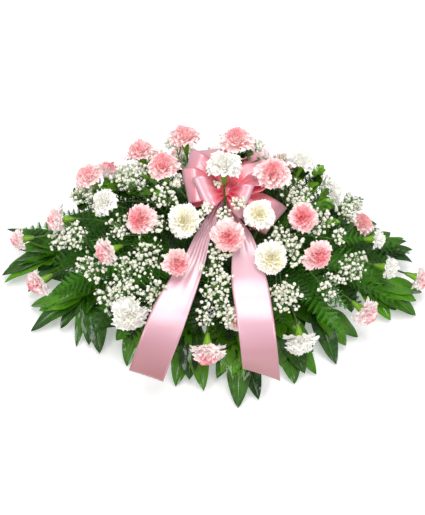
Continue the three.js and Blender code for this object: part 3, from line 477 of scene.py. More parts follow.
def level_across(direction):
    """The level direction square to a run, to its left."""
    return np.cross(UP, level(direction))


def spaced(line, count):
    """The line again with count points at even distances along it."""
    steps = np.linalg.norm(np.diff(line, axis=0), axis=1)
    along = np.concatenate([[0.0], np.cumsum(steps)])
    places = np.linspace(0, along[-1], count)
    return np.stack([np.interp(places, along, line[:, k]) for k in range(3)], axis=1)


def length_of(line):
    """The length of a line of points."""
    return float(np.linalg.norm(np.diff(line, axis=0), axis=1).sum())


def bezier(controls, count):
    """A Bezier curve: its control points blended with their neighbours until one point is left."""
    share = np.linspace(0, 1, count)[:, None]
    points = [np.asarray(c, float)[None] for c in controls]
    while len(points) > 1:
        points = [a + (b - a) * share for a, b in zip(points, points[1:])]
    return points[0]


def line_through(points, count):
    """A smooth line through points: cubic pieces whose slopes come from the points on both sides."""
    p = np.asarray(points, float)
    knots = np.concatenate([[0.0], np.cumsum(np.linalg.norm(np.diff(p, axis=0), axis=1) ** 0.5)])
    slope = np.gradient(p, knots, axis=0)
    t = np.linspace(0, knots[-1], CURVE_POINTS // 2 * len(p))
    i = np.clip(np.searchsorted(knots, t, side="right") - 1, 0, len(p) - 2)
    width = (knots[i + 1] - knots[i])[:, None]
    s = (t - knots[i])[:, None] / width
    line = (
        (2 * s**3 - 3 * s**2 + 1) * p[i]
        + (s**3 - 2 * s**2 + s) * width * slope[i]
        + (3 * s**2 - 2 * s**3) * p[i + 1]
        + (s**3 - s**2) * width * slope[i + 1]
    )
    return spaced(line, count)


def frame_along(line, across):
    """The line's direction, side and normal at each point: side is across made square to the line, and
    normal is square to both."""
    tangent = unit(np.gradient(line, axis=0))
    side = unit(across - (tangent @ across)[:, None] * tangent)
    return tangent, side, np.cross(side, tangent)


def smooth_step(x, low, high):
    """0 below low and 1 above high, and between them 3 times the square less twice the cube of the share
    of the way."""
    t = np.clip((x - low) / (high - low), 0, 1)
    return t * t * (3 - 2 * t)


# Shapes: points, triangles and three marks a point, which the materials read

class Shape:
    """Points in millimetres, triangles by point number, and the marks of each point."""

    def __init__(self, points, faces, marks):
        self.points = np.asarray(points, float).reshape(-1, 3)
        self.faces = np.asarray(faces, np.int64).reshape(-1, 3)
        self.marks = np.broadcast_to(np.asarray(marks, float).reshape(-1, 3), self.points.shape)


def joined(shapes):
    """Several shapes as one, with their point numbers moved on."""
    starts = np.cumsum([0] + [len(s.points) for s in shapes[:-1]])
    return Shape(
        np.concatenate([s.points for s in shapes]),
        np.concatenate([s.faces + start for s, start in zip(shapes, starts)]),
        np.concatenate([s.marks for s in shapes]),
    )


def grid_faces(index):
    """Two triangles a cell of a grid of point numbers. Two corner cells are cut the other way, so that
    each triangle at a corner has a point inside the border."""
    a, b, c, d = index[:-1, :-1], index[1:, :-1], index[1:, 1:], index[:-1, 1:]
    turned = np.zeros(a.shape, bool)
    turned[0, -1] = turned[-1, 0] = True
    turned = turned[..., None]
    first = np.where(turned, np.stack([a, b, d], -1), np.stack([a, b, c], -1))
    second = np.where(turned, np.stack([b, c, d], -1), np.stack([a, c, d], -1))
    return np.concatenate([first.reshape(-1, 3), second.reshape(-1, 3)])


def tube_faces(stations, sides):
    """Faces of a closed tube: rings of points one after the other along it, then the middle points of its
    first and last ring. They face outwards where the rings turn about the way they go as a right hand's
    fingers turn about its thumb."""
    ring = np.arange(stations * sides).reshape(stations, sides)
    wrapped = np.concatenate([ring, ring[:, :1]], axis=1)
    low, high = wrapped[0], wrapped[-1]
    first, last = stations * sides, stations * sides + 1
    return np.concatenate([
        grid_faces(wrapped)[:, ::-1],
        np.stack([np.full(sides, first), low[1:], low[:-1]], -1),
        np.stack([np.full(sides, last), high[:-1], high[1:]], -1),
    ])


def repeated(faces, points_each, count):
    """The faces of one shape again for each of count copies."""
    return (faces[None] + points_each * np.arange(count)[:, None, None]).reshape(-1, 3)


def thin_sheets(grids, thickness, marks):
    """Closed thin sheets from grids of points (sheets, rows, columns, 3). Inside its border each sheet is
    moved half the thickness along its normal to both sides, and both sides meet at the border."""
    count, rows, columns = grids.shape[:3]
    normal = unit(np.cross(np.gradient(grids, axis=1), np.gradient(grids, axis=2)))
    lift = normal * thickness / 2
    lift[:, [0, -1]] = 0
    lift[:, :, [0, -1]] = 0
    inside = (slice(None), slice(1, -1), slice(1, -1))
    points = np.concatenate(
        [(grids + lift).reshape(count, -1, 3), (grids - lift)[inside].reshape(count, -1, 3)], axis=1
    )
    all_marks = np.concatenate(
        [marks.reshape(count, -1, 3), marks[inside].reshape(count, -1, 3)], axis=1
    )
    front = np.arange(rows * columns).reshape(rows, columns)
    back = front.copy()
    back[1:-1, 1:-1] = rows * columns + np.arange((rows - 2) * (columns - 2)).reshape(rows - 2, -1)
    faces = np.concatenate([grid_faces(front), grid_faces(back)[:, ::-1]])
    return Shape(points, repeated(faces, points.shape[1], count), all_marks)


def tubes(lines, radii, sides, marks):
    """Round tubes along lines (tubes, points, 3): at each point a ring of the radius times cosine and
    sine on two directions square to the line, and each end closed on its own middle point. A tube that
    stands almost upright takes its side direction from +X."""
    count, stations = lines.shape[:2]
    tangent = unit(np.gradient(lines, axis=1))
    run = lines[:, -1] - lines[:, 0]
    flat = run * [1, 1, 0]
    steep = np.linalg.norm(flat, axis=1) < NEARLY_UPRIGHT * np.linalg.norm(run, axis=1)
    flat[steep] = [1, 0, 0]
    across = np.cross(UP, unit(flat))[:, None]
    side = unit(across - (tangent * across).sum(-1, keepdims=True) * tangent)
    other = np.cross(tangent, side)
    turn = np.linspace(0, 2 * np.pi, sides, endpoint=False)
    radii = np.broadcast_to(radii, (count, stations))[..., None, None]
    rings = lines[:, :, None] + radii * (
        np.cos(turn)[:, None] * side[:, :, None] + np.sin(turn)[:, None] * other[:, :, None]
    )
    ends = lines[:, [0, -1]]
    points = np.concatenate([rings.reshape(count, -1, 3), ends], axis=1)
    faces = tube_faces(stations, sides)
    marks = np.broadcast_to(np.asarray(marks, float), (count, stations, 3))
    ring_marks = np.repeat(marks, sides, axis=1)
    all_marks = np.concatenate([ring_marks, marks[:, [0, -1]]], axis=1)
    return Shape(points, repeated(faces, points.shape[1], count), all_marks)


def turned_to(shape, base, facing):
    """The shape moved from the origin to base, with its +Z side turned to facing."""
    upright = abs(facing[2]) >= STRAIGHT_UP
    side = np.array([1.0, 0.0, 0.0]) if upright else unit(np.cross(UP, facing))
    turn = np.stack([side, np.cross(facing, side), facing], axis=1)
    return Shape(shape.points @ turn.T + base, shape.faces, shape.marks)


def make_piece(name, shape, finish, node):
    """A mesh object in metres that rides on the spray and stands for the given node. Its edges are smooth
    up to the smooth angle."""
    mesh = bpy.data.meshes.new(name)
    count = len(shape.faces)
    mesh.vertices.add(len(shape.points))
    mesh.vertices.foreach_set("co", (shape.points * MM).astype(np.float32).ravel())
    mesh.loops.add(3 * count)
    mesh.loops.foreach_set("vertex_index", shape.faces.astype(np.int32).ravel())
    mesh.polygons.add(count)
    mesh.polygons.foreach_set("loop_start", np.arange(0, 3 * count, 3, dtype=np.int32))
    mesh.polygons.foreach_set("use_smooth", np.ones(count, bool))
    marks = mesh.attributes.new("marks", "FLOAT_VECTOR", "POINT")
    marks.data.foreach_set("vector", shape.marks.astype(np.float32).ravel())
    mesh.update(calc_edges=True)
    mesh.validate()
    mesh.set_sharp_from_angle(angle=SMOOTH_ANGLE)
    mesh.materials.append(MATERIALS[finish])
    piece = bpy.data.objects.new(name, mesh)
    bpy.context.scene.collection.objects.link(piece)
    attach(piece, "root")
    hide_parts(node)
    return piece


# Materials

def colour(code):
    """A colour written as on a paint card, such as "f3b4bf", as linear red, green, blue and alpha."""
    value = np.array([int(code[i:i + 2], 16) for i in (0, 2, 4)]) / 255
    linear = np.where(value <= 0.04045, value / 12.92, ((value + 0.055) / 1.055) ** 2.4)
    return (*linear, 1.0)


class Tree:
    """A node tree that nodes are added to by kind, with their settings and inputs."""

    def __init__(self, tree):
        self.tree = tree

    def give(self, socket, value):
        """Feeds a socket from another one, or sets the socket's own value."""
        if isinstance(value, bpy.types.NodeSocket):
            self.tree.links.new(value, socket)
        else:
            socket.default_value = value

    def add(self, kind, inputs=(), **settings):
        """A new node of a kind, with its settings and what feeds its inputs by name."""
        node = self.tree.nodes.new(kind)
        for name, value in settings.items():
            setattr(node, name, value)
        for name, value in dict(inputs).items():
            self.give(node.inputs[name], value)
        return node

    def maths(self, operation, a, b=0.0):
        """The result of one operation on a and, where it takes two, b."""
        node = self.add("ShaderNodeMath", operation=operation)
        self.give(node.inputs[0], a)
        self.give(node.inputs[1], b)
        return node.outputs[0]

    def plus(self, a, b):
        return self.maths("ADD", a, b)

    def minus(self, a, b):
        return self.maths("SUBTRACT", a, b)

    def times(self, a, b):
        return self.maths("MULTIPLY", a, b)

    def blend(self, share, a, b):
        """Colour a where the share is 0 or less and colour b where it is 1 or more."""
        node = self.add("ShaderNodeMix", data_type="RGBA", clamp_factor=True)
        for socket, value in zip((node.inputs[0], node.inputs[6], node.inputs[7]), (share, a, b)):
            self.give(socket, value)
        return node.outputs[2]

    def marks(self):
        """The three marks that each point of a shape carries."""
        attribute = self.add("ShaderNodeAttribute", attribute_name="marks")
        return self.add("ShaderNodeSeparateXYZ", {"Vector": attribute.outputs["Vector"]}).outputs

    def noise(self, scale, detail=3.0):
        """Noise from 0 to 1 on the piece's own place, with scale patches to a metre."""
        place = self.add("ShaderNodeTexCoord").outputs["Object"]
        inputs = {"Vector": place, "Scale": scale, "Detail": detail}
        return self.add("ShaderNodeTexNoise", inputs).outputs["Fac"]


def new_group(name, inputs, outputs):
    """An empty shader node group with named sockets, its tree, and its input and output sockets."""
    group = bpy.data.node_groups.new(name, "ShaderNodeTree")
    kinds = {float: "NodeSocketFloat", tuple: "NodeSocketColor"}
    for socket, value in inputs.items():
        made = group.interface.new_socket(socket, in_out="INPUT", socket_type=kinds[type(value)])
        made.default_value = value
    for socket in outputs:
        kind = "NodeSocketColor" if socket == "Colour" else "NodeSocketFloat"
        group.interface.new_socket(socket, in_out="OUTPUT", socket_type=kind)
    tree = Tree(group)
    return group, tree, tree.add("NodeGroupInput").outputs, tree.add("NodeGroupOutput").inputs


def petal_group():
    """Petal colour, from Deep to Pale. The share of Pale is the way out along the petal to the power Edge,
    lessened by Heart towards the heart of the head, plus Outer times the square of the way from the heart
    to the outer petals, plus soft patches and a chance from petal to petal. The height is fine noise."""
    sockets = {"Deep": colour("e8808f"), "Pale": colour("f9dcdf"), "Edge": 1.5, "Heart": 0.7,
               "Outer": 0.3, "Chance": 0.5}
    group, tree, given, made = new_group("petal colour", sockets, ["Colour", "Height"])
    rim, layer, chance = tree.marks()
    patches, patch_strength = 70.0, 0.6
    grain = 900.0
    rise = tree.maths("POWER", rim, given["Edge"])
    heart = tree.minus(1.0, tree.times(layer, given["Heart"]))
    outer = tree.maths("POWER", tree.minus(1.0, layer), 2.0)
    lively = tree.times(tree.minus(chance, 0.5), given["Chance"])
    patch = tree.times(tree.minus(tree.noise(patches), 0.5), patch_strength)
    share = tree.plus(tree.times(rise, heart), tree.plus(lively, patch))
    share = tree.plus(share, tree.times(outer, given["Outer"]))
    tree.give(made["Colour"], tree.blend(share, given["Deep"], given["Pale"]))
    tree.give(made["Height"], tree.noise(grain))
    return group


def leaf_group():
    """Leaf colour and relief: from Dark to Light by chance and soft patches, with a paler rib where the
    place across is near 0. The height is veins that run along the leaf, fine grain and broad waves of the
    height Swell, and the gloss changes with the waves."""
    sockets = {"Dark": colour("123d10"), "Light": colour("3f8a26"), "Rib": colour("6fa542"),
               "Veins": 20.0, "Chance": 0.8, "Swell": 0.0}
    group, tree, given, made = new_group("leaf colour", sockets, ["Colour", "Height", "Roughness"])
    _, across, chance = tree.marks()
    patches, patch_middle, patch_strength = 26.0, 0.45, 0.8
    rib_sharpness, rib_strength = 22.0, 0.7
    grain, grain_strength = 240.0, 0.8
    smoothest, roughening = 0.14, 0.26
    cloud = tree.noise(patches)
    lively = tree.times(chance, given["Chance"])
    share = tree.plus(lively, tree.times(tree.minus(cloud, patch_middle), patch_strength))
    body = tree.blend(share, given["Dark"], given["Light"])
    near_rib = tree.minus(1.0, tree.times(tree.maths("ABSOLUTE", across), rib_sharpness))
    rib = tree.times(tree.maths("MAXIMUM", near_rib, 0.0), rib_strength)
    veins = tree.maths("SINE", tree.times(across, given["Veins"]))
    fine = tree.times(tree.noise(grain), grain_strength)
    tree.give(made["Colour"], tree.blend(rib, body, given["Rib"]))
    swell = tree.times(cloud, given["Swell"])
    tree.give(made["Height"], tree.plus(swell, tree.plus(veins, fine)))
    tree.give(made["Roughness"], tree.plus(smoothest, tree.times(cloud, roughening)))
    return group


def satin_group():
    """Satin: the Outside colour, and on the inside faces a deeper coral that is painted shade and bounced
    light within the loops. Near the knot it turns to a deep coral, painted shade where the ribbon is
    gathered, and towards a tail's cut end to a darker painted shade, where the tail hangs steeply away
    from the light above. It has a denser edge. The height is threads that run along it and a soft
    unevenness, which roughens it too."""
    sockets = {"Outside": colour("d39fae"), "Inside": colour("f28090"), "Knot shade": colour("ea5f70"),
               "End shade": colour("a86a70"), "Edge": colour("c07a88")}
    group, tree, given, made = new_group("satin weave", sockets, ["Colour", "Height", "Roughness"])
    away, across, inside = tree.marks()
    knot_shade_reach, knot_shade_strength = 0.97, 1.8
    edge_start, edge_strength = 0.965, 0.35
    unevenness, threads, thread_height = 38.0, 260.0, 0.05
    smoothest, roughening = 0.3, 0.14
    # The inside faces take a deeper coral: painted shade and bounced light within the loops
    body = tree.blend(inside, given["Outside"], given["Inside"])
    # Painted shade: deep coral where the ribbon is gathered near the knot
    near = tree.times(tree.minus(knot_shade_reach, away), knot_shade_strength)
    body = tree.blend(near, body, given["Knot shade"])
    # Painted shade: darker towards a tail's cut end, where the tail hangs steeply away from the light above
    body = tree.blend(tree.minus(away, 1.0), body, given["End shade"])
    border = tree.maths("GREATER_THAN", tree.maths("ABSOLUTE", across), edge_start)
    soft = tree.noise(unevenness, 2.0)
    thread = tree.maths("SINE", tree.times(across, threads))
    tree.give(made["Colour"], tree.blend(tree.times(border, edge_strength), body, given["Edge"]))
    tree.give(made["Height"], tree.plus(tree.times(thread, thread_height), soft))
    tree.give(made["Roughness"], tree.plus(smoothest, tree.times(soft, roughening)))
    return group


def grain_group():
    """Grain: a Base colour mottled towards Tone by noise of Size patches to a metre, and that noise as
    height."""
    sockets = {"Base": colour("333333"), "Tone": colour("555555"), "Size": 200.0}
    group, tree, given, made = new_group("grain", sockets, ["Colour", "Height"])
    cloud = tree.noise(given["Size"], 5.0)
    tree.give(made["Colour"], tree.blend(cloud, given["Base"], given["Tone"]))
    tree.give(made["Height"], cloud)
    return group


def material(name, group, sockets, relief, constants):
    """A material whose group feeds the base colour, the glow where there is one, the height and, where
    the group has one, the roughness. The glow is painted light in the surface's own colour, standing
    for light that shines through petals, florets and ribbon. Constants are set on the shader itself."""
    made = bpy.data.materials.new(name)
    made.use_nodes = True
    tree = Tree(made.node_tree)
    shader = made.node_tree.nodes["Principled BSDF"]
    effect = tree.add("ShaderNodeGroup", node_tree=group)
    for socket, value in sockets.items():
        effect.inputs[socket].default_value = colour(value) if isinstance(value, str) else value
    strength, depth = relief
    height = {"Strength": strength, "Distance": depth * MM, "Height": effect.outputs["Height"]}
    tree.give(shader.inputs["Base Color"], effect.outputs["Colour"])
    if "Emission Strength" in constants:
        tree.give(shader.inputs["Emission Color"], effect.outputs["Colour"])
    if "Roughness" in effect.outputs:
        tree.give(shader.inputs["Roughness"], effect.outputs["Roughness"])
    tree.give(shader.inputs["Normal"], tree.add("ShaderNodeBump", height).outputs["Normal"])
    for socket, value in constants.items():
        shader.inputs[socket].default_value = value
    return made


def all_materials():
    """Every material of the spray by the plain name of its finish."""
    groups = {"petal": petal_group(), "leaf": leaf_group(), "satin": satin_group(), "grain": grain_group()}
    made = {}
    for kind, tones in PETAL_TONES.items():
        made[kind] = material(f"petals {kind}", groups["petal"], tones, PETAL_RELIEF, PETAL_FINISH)
    for finish, (name, group, sockets, relief, constants) in FINISHES.items():
        made[finish] = material(name, groups[group], sockets, relief, constants)
    return made


MATERIALS = all_materials()


# Carnations

def petal_layer(spec, share, random):
    """Petals of one layer, on u from the claw to the rim and v across. The way out s is u less a share of
    v squared, with teeth at the rim. Out and up are curves of the second degree in s, from the claw
    through a belly to the rim, and the width fans out with u to the power 0.8. The sides are cupped by v
    squared, the petal is twisted a little about its own length, and two waves across it ruffle it, whose
    height grows with u squared."""
    petals, rows, columns = spec["petals"], HEAD["rows"], HEAD["columns"]
    u = (np.linspace(0, 1, rows) ** PETAL["crowding"])[None, :, None]
    v = np.linspace(-1, 1, columns)[None, None, :]
    chance = random.random((8, petals, 1, 1))
    reach = spec["reach"] * between(PETAL["reaches"], chance[0])
    height = spec["height"] + PETAL["heights"] * (chance[1] - 0.5)
    turn = 2 * np.pi * (np.arange(petals)[:, None, None] + PETAL["turns"] * chance[2] + share) / petals
    rim = np.arange(rows)[None, :, None] == rows - 1
    teeth = HEAD["tooth"] * np.where(np.arange(columns) % 2 == 0, 1, -1) * rim
    s = u * (1 - HEAD["round"] * v**2) + teeth
    belly = 2 * s * (1 - s)
    out = belly * PETAL["belly_out"] * reach + s**2 * reach + (1 - s) ** 2 * PETAL["claw_out"]
    up = belly * (PETAL["belly_up"] * height + spec["arch"]) + s**2 * height + (1 - s) ** 2 * PETAL["claw_up"]
    fan = PETAL["claw_width"] + (1 - PETAL["claw_width"]) * u ** PETAL["fan"]
    wide = v * spec["width"] * fan * between(PETAL["widths"], chance[3])
    wave = np.sin(PETAL["waves"] * np.pi * v + PETAL["phase"] * chance[4])
    small = np.sin(PETAL["small_waves"] * np.pi * v + PETAL["small_phase"] * chance[5])
    wave = wave + PETAL["small_wave"] * small
    ruffle = spec["ruffle"] * u**2 * wave * between(PETAL["ruffles"], chance[6])
    tilt = np.arctan2(height + PETAL["tilt"], reach)
    cup = HEAD["cup"] * v**2 * u
    out = out - ruffle * np.sin(tilt) - cup
    up = up + ruffle * np.cos(tilt) + cup
    twist = spec["twist"] * (2 * chance[7] - 1)
    up = up + PETAL["twist_rise"] * wide * np.sin(twist)
    wide = wide * np.cos(twist)
    x = out * np.cos(turn) - wide * np.sin(turn)
    y = out * np.sin(turn) + wide * np.cos(turn)
    grids = np.stack(np.broadcast_arrays(x, y, up), axis=-1)
    marks = np.stack(np.broadcast_arrays(u + 0 * wide, share, chance[5]), axis=-1)
    return grids, marks


def carnation_head(bloom_number):
    """A head: its layers of petals, from the flat outer ones to the upright ones in the heart. The marks
    are the way out along a petal, the layer from 0 outside to 1 in the heart, and a chance."""
    _, middle, facing, radius = BLOOMS[bloom_number][:4]
    random = np.random.default_rng(SEEDS["heads"] + bloom_number)
    grids, marks = [], []
    for i, spec in enumerate(HEAD_LAYERS):
        layer, mark = petal_layer(spec, i / (len(HEAD_LAYERS) - 1), random)
        grids.append(layer)
        marks.append(mark)
    grids = np.concatenate(grids) * radius
    head = thin_sheets(grids, HEAD["thickness"], np.concatenate(marks))
    facing = towards(*facing)
    base = np.array(middle) - HEAD["middle"] * radius * facing
    return turned_to(head, base, facing)


def stem_way(mouth, end, facing, sunk, bend, count):
    """A stem's line: straight through the foam and a little above it, then one smooth arch."""
    reach = np.linalg.norm(end - mouth)
    leaving = unit(UP + STEM["lean"] * level(end - mouth))
    bottom = mouth - sunk * leaving
    neck = mouth + STEM["neck"] * leaving
    first = neck + STEM["rise"] * reach * leaving + np.array(bend)
    last = end - STEM["arrival"] * reach * facing
    arch = bezier([neck, first, last, end], CURVE_POINTS)
    return spaced(np.concatenate([bottom[None], arch]), count)


def stem_and_calyx(number, mouth):
    """A stem and its calyx. The stem's radius swells at each joint by a bell curve. The calyx is a cup
    whose rings have the table's radii, and its rim's points stand up and down in turn as teeth."""
    _, middle, facing, radius, _, *bend = BLOOMS[number]
    facing = towards(*facing)
    end = np.array(middle) - HEAD["middle"] * radius * facing
    line = stem_way(mouth, end, facing, STEM["sunk"], bend[0] if bend else (0, 0, 0), STEM["points"])
    length = length_of(line)
    along = np.linspace(0, length, len(line))
    to_joint = np.abs((along + STEM_JOINTS["start"]) % STEM_JOINTS["apart"] - STEM_JOINTS["apart"] / 2)
    radii = STEM["radius"] + STEM_JOINTS["swelling"] * np.exp(-((to_joint / STEM_JOINTS["length"]) ** 2))
    stem = tubes(line[None], radii[None], STEM["sides"], PLAIN_MARKS["stem"])
    shares = np.array([share for share, _ in CALYX_RINGS])
    rings = np.array([radius for _, radius in CALYX_RINGS])
    places = length - CALYX["length"] * (1 - shares) + CALYX["sunk"]
    outer = line[-1] + unit(line[-1] - line[-2]) * (places - length)[:, None]
    inner = np.stack([np.interp(places, along, line[:, k]) for k in range(3)], axis=1)
    cup = np.where((places > length)[:, None], outer, inner)
    marks = np.stack([0 * shares, 0.5 + 0 * shares, between(CALYX["paling"], shares)], axis=1)
    calyx = tubes(cup[None], rings[None], CALYX["sides"], marks[None])
    rim = np.arange(CALYX["sides"]) + (len(CALYX_RINGS) - 1) * CALYX["sides"]
    teeth = np.where(np.arange(CALYX["sides"]) % 2 == 0, 1, -1) * CALYX["teeth"]
    calyx.points[rim] += teeth[:, None] * facing
    return [stem, calyx]


def row_mouths(row):
    """The holes of a row, evenly spaced, in the order of what stands in them from left to right."""
    blooms = [(b[1][0], "bloom", i) for i, b in enumerate(BLOOMS) if b[4] == row]
    ferns = [(f[1][0], "fern", i) for i, f in enumerate(FERNS) if f[0] == row]
    standing = sorted(blooms + ferns)
    places = np.linspace(-ROW_REACH, ROW_REACH, len(standing))
    return {(what, i): np.array([x, ROWS[row], FOAM["top"]]) for x, (_, what, i) in zip(places, standing)}


# Fern

def fern_frond(line, width, random):
    """A frond: a rachis with pairs of pinnae, whose lengths follow a sine along it and are least at the
    tip. A pinna is a blade, s along it and v across: its half width shrinks with 1 - s to the power 0.6
    and is cut in between its lobes, its lobes are swept forward, it falls with s squared, and its edges
    are turned down. The marks are s, v and a chance for the frond."""
    pairs = FROND["pinnae"]
    shares = np.linspace(FROND["first"], FROND["last"], pairs)
    line = spaced(line, FROND["points"])
    length = length_of(line)
    tangent, side, normal = frame_along(line, level_across(line[-1] - line[0]))
    places = (shares * (len(line) - 1)).astype(int)
    base, along, out, face = (a[places][:, None, None] for a in (line, tangent, side, normal))
    swell = (shares - FROND["first"]) / PINNA["longest_over"]
    swell = between((PINNA["longest_from"], PINNA["longest_to"]), swell)
    reach = 0.5 * width * np.sin(np.pi * swell) + PINNA["least"]
    pitch = length * (shares[1] - shares[0])
    stations = 2 * FROND["lobes"] + 1
    s = np.linspace(0, 1, stations)[None, :, None]
    v = np.array([-1.0, 0.0, 1.0])[None, None, :]
    lobe = (np.arange(stations) % 2 == 1)[None, :, None]
    grids, marks = [], []
    for hand in (-1, 1):
        jitter = random.random((2, pairs, 1, 1))
        long = reach[:, None, None] * between(PINNA["lengths"], jitter[0])
        waist = np.where(lobe, 1.0, FROND["notch"])
        half = PINNA["broad"] * pitch * (1 - s) ** PINNA["narrows"] * waist + PINNA["tip"]
        go_out = s * long * hand
        go_along = s * long * PINNA["swept"] + half * v * PINNA["spread"]
        go_along = go_along + PINNA["lobe_swept"] * half * np.abs(v) * lobe
        fall = -PINNA["fall"] * s**2 * long * (PINNA["fall_least"] + jitter[1])
        fall = fall - PINNA["edge_fall"] * half * np.abs(v)
        across = half * v * PINNA["skew"] * hand
        grid = base + (go_out + across)[..., None] * out + go_along[..., None] * along
        grid = grid + fall[..., None] * face
        grids.append(grid if hand > 0 else grid[:, :, ::-1])
        marks.append(np.stack(np.broadcast_arrays(s + 0 * go_out, v, 0.0), -1))
    chance = random.random()
    marks = np.concatenate(marks)
    marks[..., 2] = chance
    blades = thin_sheets(np.concatenate(grids), FROND["thickness"], marks)
    points = FROND["rachis_points"]
    radii = np.linspace(FROND["rachis"], FROND["rachis_tip"], points)
    rachis = tubes(spaced(line, points)[None], radii[None], FROND["rachis_sides"], (0.5, 0.5, chance))
    return [blades, rachis]


def fill_fronds(room, random):
    """Fronds that fill the mound: their tips are spread evenly over a flattened dome by the golden angle,
    and each frond takes the first of the given reaches at which it lies clear of the heads and the
    ribbon, or the last."""
    made = {row: [] for row in ROWS}
    dome = np.array([FILL["half_length"], FILL["half_depth"], FILL["height"]])
    along, deep = FILL["farthest"]
    for i in range(FILL["fronds"]):
        height = FILL["lowest"] + FILL["rise"] * (i + 0.5) / FILL["fronds"]
        turn = i * np.pi * (3 - 5**0.5)
        flat = np.sqrt(1 - height**2)
        far = np.array([np.cos(turn) * flat, np.sin(turn) * flat, height]) * dome
        for share in FILL["reaches"]:
            tip = far * share + [0, 0, FILL["base"]]
            mouth = np.array([
                np.clip(FILL["hole_along"] * tip[0], -along, along),
                np.clip(FILL["hole_deep"] * tip[1], -deep, deep),
                FOAM["top"] - FILL["hole_sunk"],
            ])
            leaving = unit(UP + FILL["lean"] * level(tip - mouth) * (1 - height))
            arch = FILL["arch"] * np.linalg.norm(tip - mouth)
            line = bezier([mouth - FILL["sunk"] * leaving, mouth + arch * leaving, tip], FILL["points"])
            if room.clear(line[FILL["free_from"]:], FILL["clearance"]):
                break
        border = FILL["row_border"]
        row = "front" if tip[1] < -border else "back" if tip[1] > border else "middle"
        made[row] += fern_frond(line, random.uniform(*FILL["widths"]), random)
    return made


# Palm leaves

def palm_leaflet(base, tip, width, random, grid):
    """A broad pointed blade on an arched line, with u along it and v across. Its half width grows with u
    to the power 0.6 and shrinks with 1 - u to the power 0.85. Its edges are turned down and wave slowly,
    a rib stands along its middle as a bell curve of v, and the veins are a cosine of v. The marks are u, v
    and a chance."""
    rows, columns = grid
    run = tip - base
    crest = base + run / 2 + UP * LEAFLET["arch"] * np.linalg.norm(run)
    line = spaced(bezier([base, crest, tip], CURVE_POINTS), rows)
    _, side, normal = frame_along(line, level_across(run))
    u = np.linspace(0, 1, rows)[:, None]
    v = np.linspace(-1, 1, columns)[None, :]
    half = 0.5 * width * LEAFLET["broad"] * u ** LEAFLET["widens"] * (1 - u) ** LEAFLET["narrows"]
    half = half + LEAFLET["stub"]
    phase = random.random(3) * 2 * np.pi
    slow = np.sin(LEAFLET["waves"] * np.pi * u + phase[0] + (v > 0) * phase[1])
    edge = np.abs(v) ** LEAFLET["edge"] * LEAFLET["wave"] * slow * np.sin(np.pi * u)
    vein = LEAFLET["vein"] * np.cos(LEAFLET["veins"] * np.pi * v) * np.minimum(1, 4 * u * (1 - u))
    rib = LEAFLET["rib"] * np.exp(-((v / LEAFLET["rib_width"]) ** 2))
    rise = rib + edge + vein - LEAFLET["fold"] * np.abs(v) * half
    grid = line[:, None] + (half * v)[..., None] * side[:, None] + rise[..., None] * normal[:, None]
    marks = np.stack(np.broadcast_arrays(u, v, random.random()), -1)
    return thin_sheets(grid[None], LEAFLET["thickness"], marks[None])


def leaf_sprig(row, foot, facing, length, random):
    """A sprig: a stem from the foam to its foot, and broad leaflets fanned out from there."""
    foot = np.array(foot, float)
    mouth = np.array([foot[0] / SPRIG["foot_out"], ROWS[row], FOAM["top"] - FROND["sunk"]])
    ahead = towards(*facing)
    side = level_across(ahead)
    rise = SPRIG["rise"] * np.linalg.norm(foot - mouth) * UP
    stem = bezier([mouth, mouth + rise, foot], SPRIG["points"])
    shapes = [tubes(stem[None], RACHIS["tip"], SPRIG["sides"], PLAIN_MARKS["sprig"])]
    for turn in np.radians(SPRIG["turns"]):
        run = np.cos(turn) * ahead + np.sin(turn) * side + random.normal(size=3) * SPRIG["stray"]
        tip = foot + length * random.uniform(*SPRIG["lengths"]) * unit(run)
        shapes.append(palm_leaflet(foot, tip, SPRIG["width"] * length, random, SPRIG_GRID))
    return shapes


def foam_exit(hub, end):
    """Where a straight stalk from the hub comes out of the foam's side or end."""
    run = end - hub
    to_end = (FOAM["length"] / 2 - np.sign(run[0]) * hub[0]) / abs(run[0])
    to_side = (FOAM["depth"] / 2 - np.sign(run[1]) * hub[1]) / abs(run[1])
    return hub + run * min(to_end, to_side)


def between_leaflets(leave, leaflets, random):
    """Leaflets that fill a stalk: one between each two neighbours, and a shorter one above each, as in a
    bunch whose leaflets overlap."""
    ways = sorted(leaflets, key=lambda leaflet: np.arctan2(*(np.array(leaflet[1]) - leave)[:2]))
    filling = []
    for (near, tip, width), (far, other, breadth) in zip(ways, ways[1:]):
        run = (np.array(tip) + np.array(other)) / 2 - leave
        tip = leave + run * random.uniform(*BETWEEN["reach"]) + UP * random.uniform(*BETWEEN["lift"])
        filling.append(((near + far) / 2, tip, BETWEEN["width"] * (width + breadth)))
    for near, tip, width in leaflets:
        run = np.array(tip) - leave
        tip = leave + run * random.uniform(*ABOVE["reach"]) + UP * random.uniform(*ABOVE["lift"])
        filling.append((ABOVE["base"] * near, tip, ABOVE["width"] * width))
    return filling


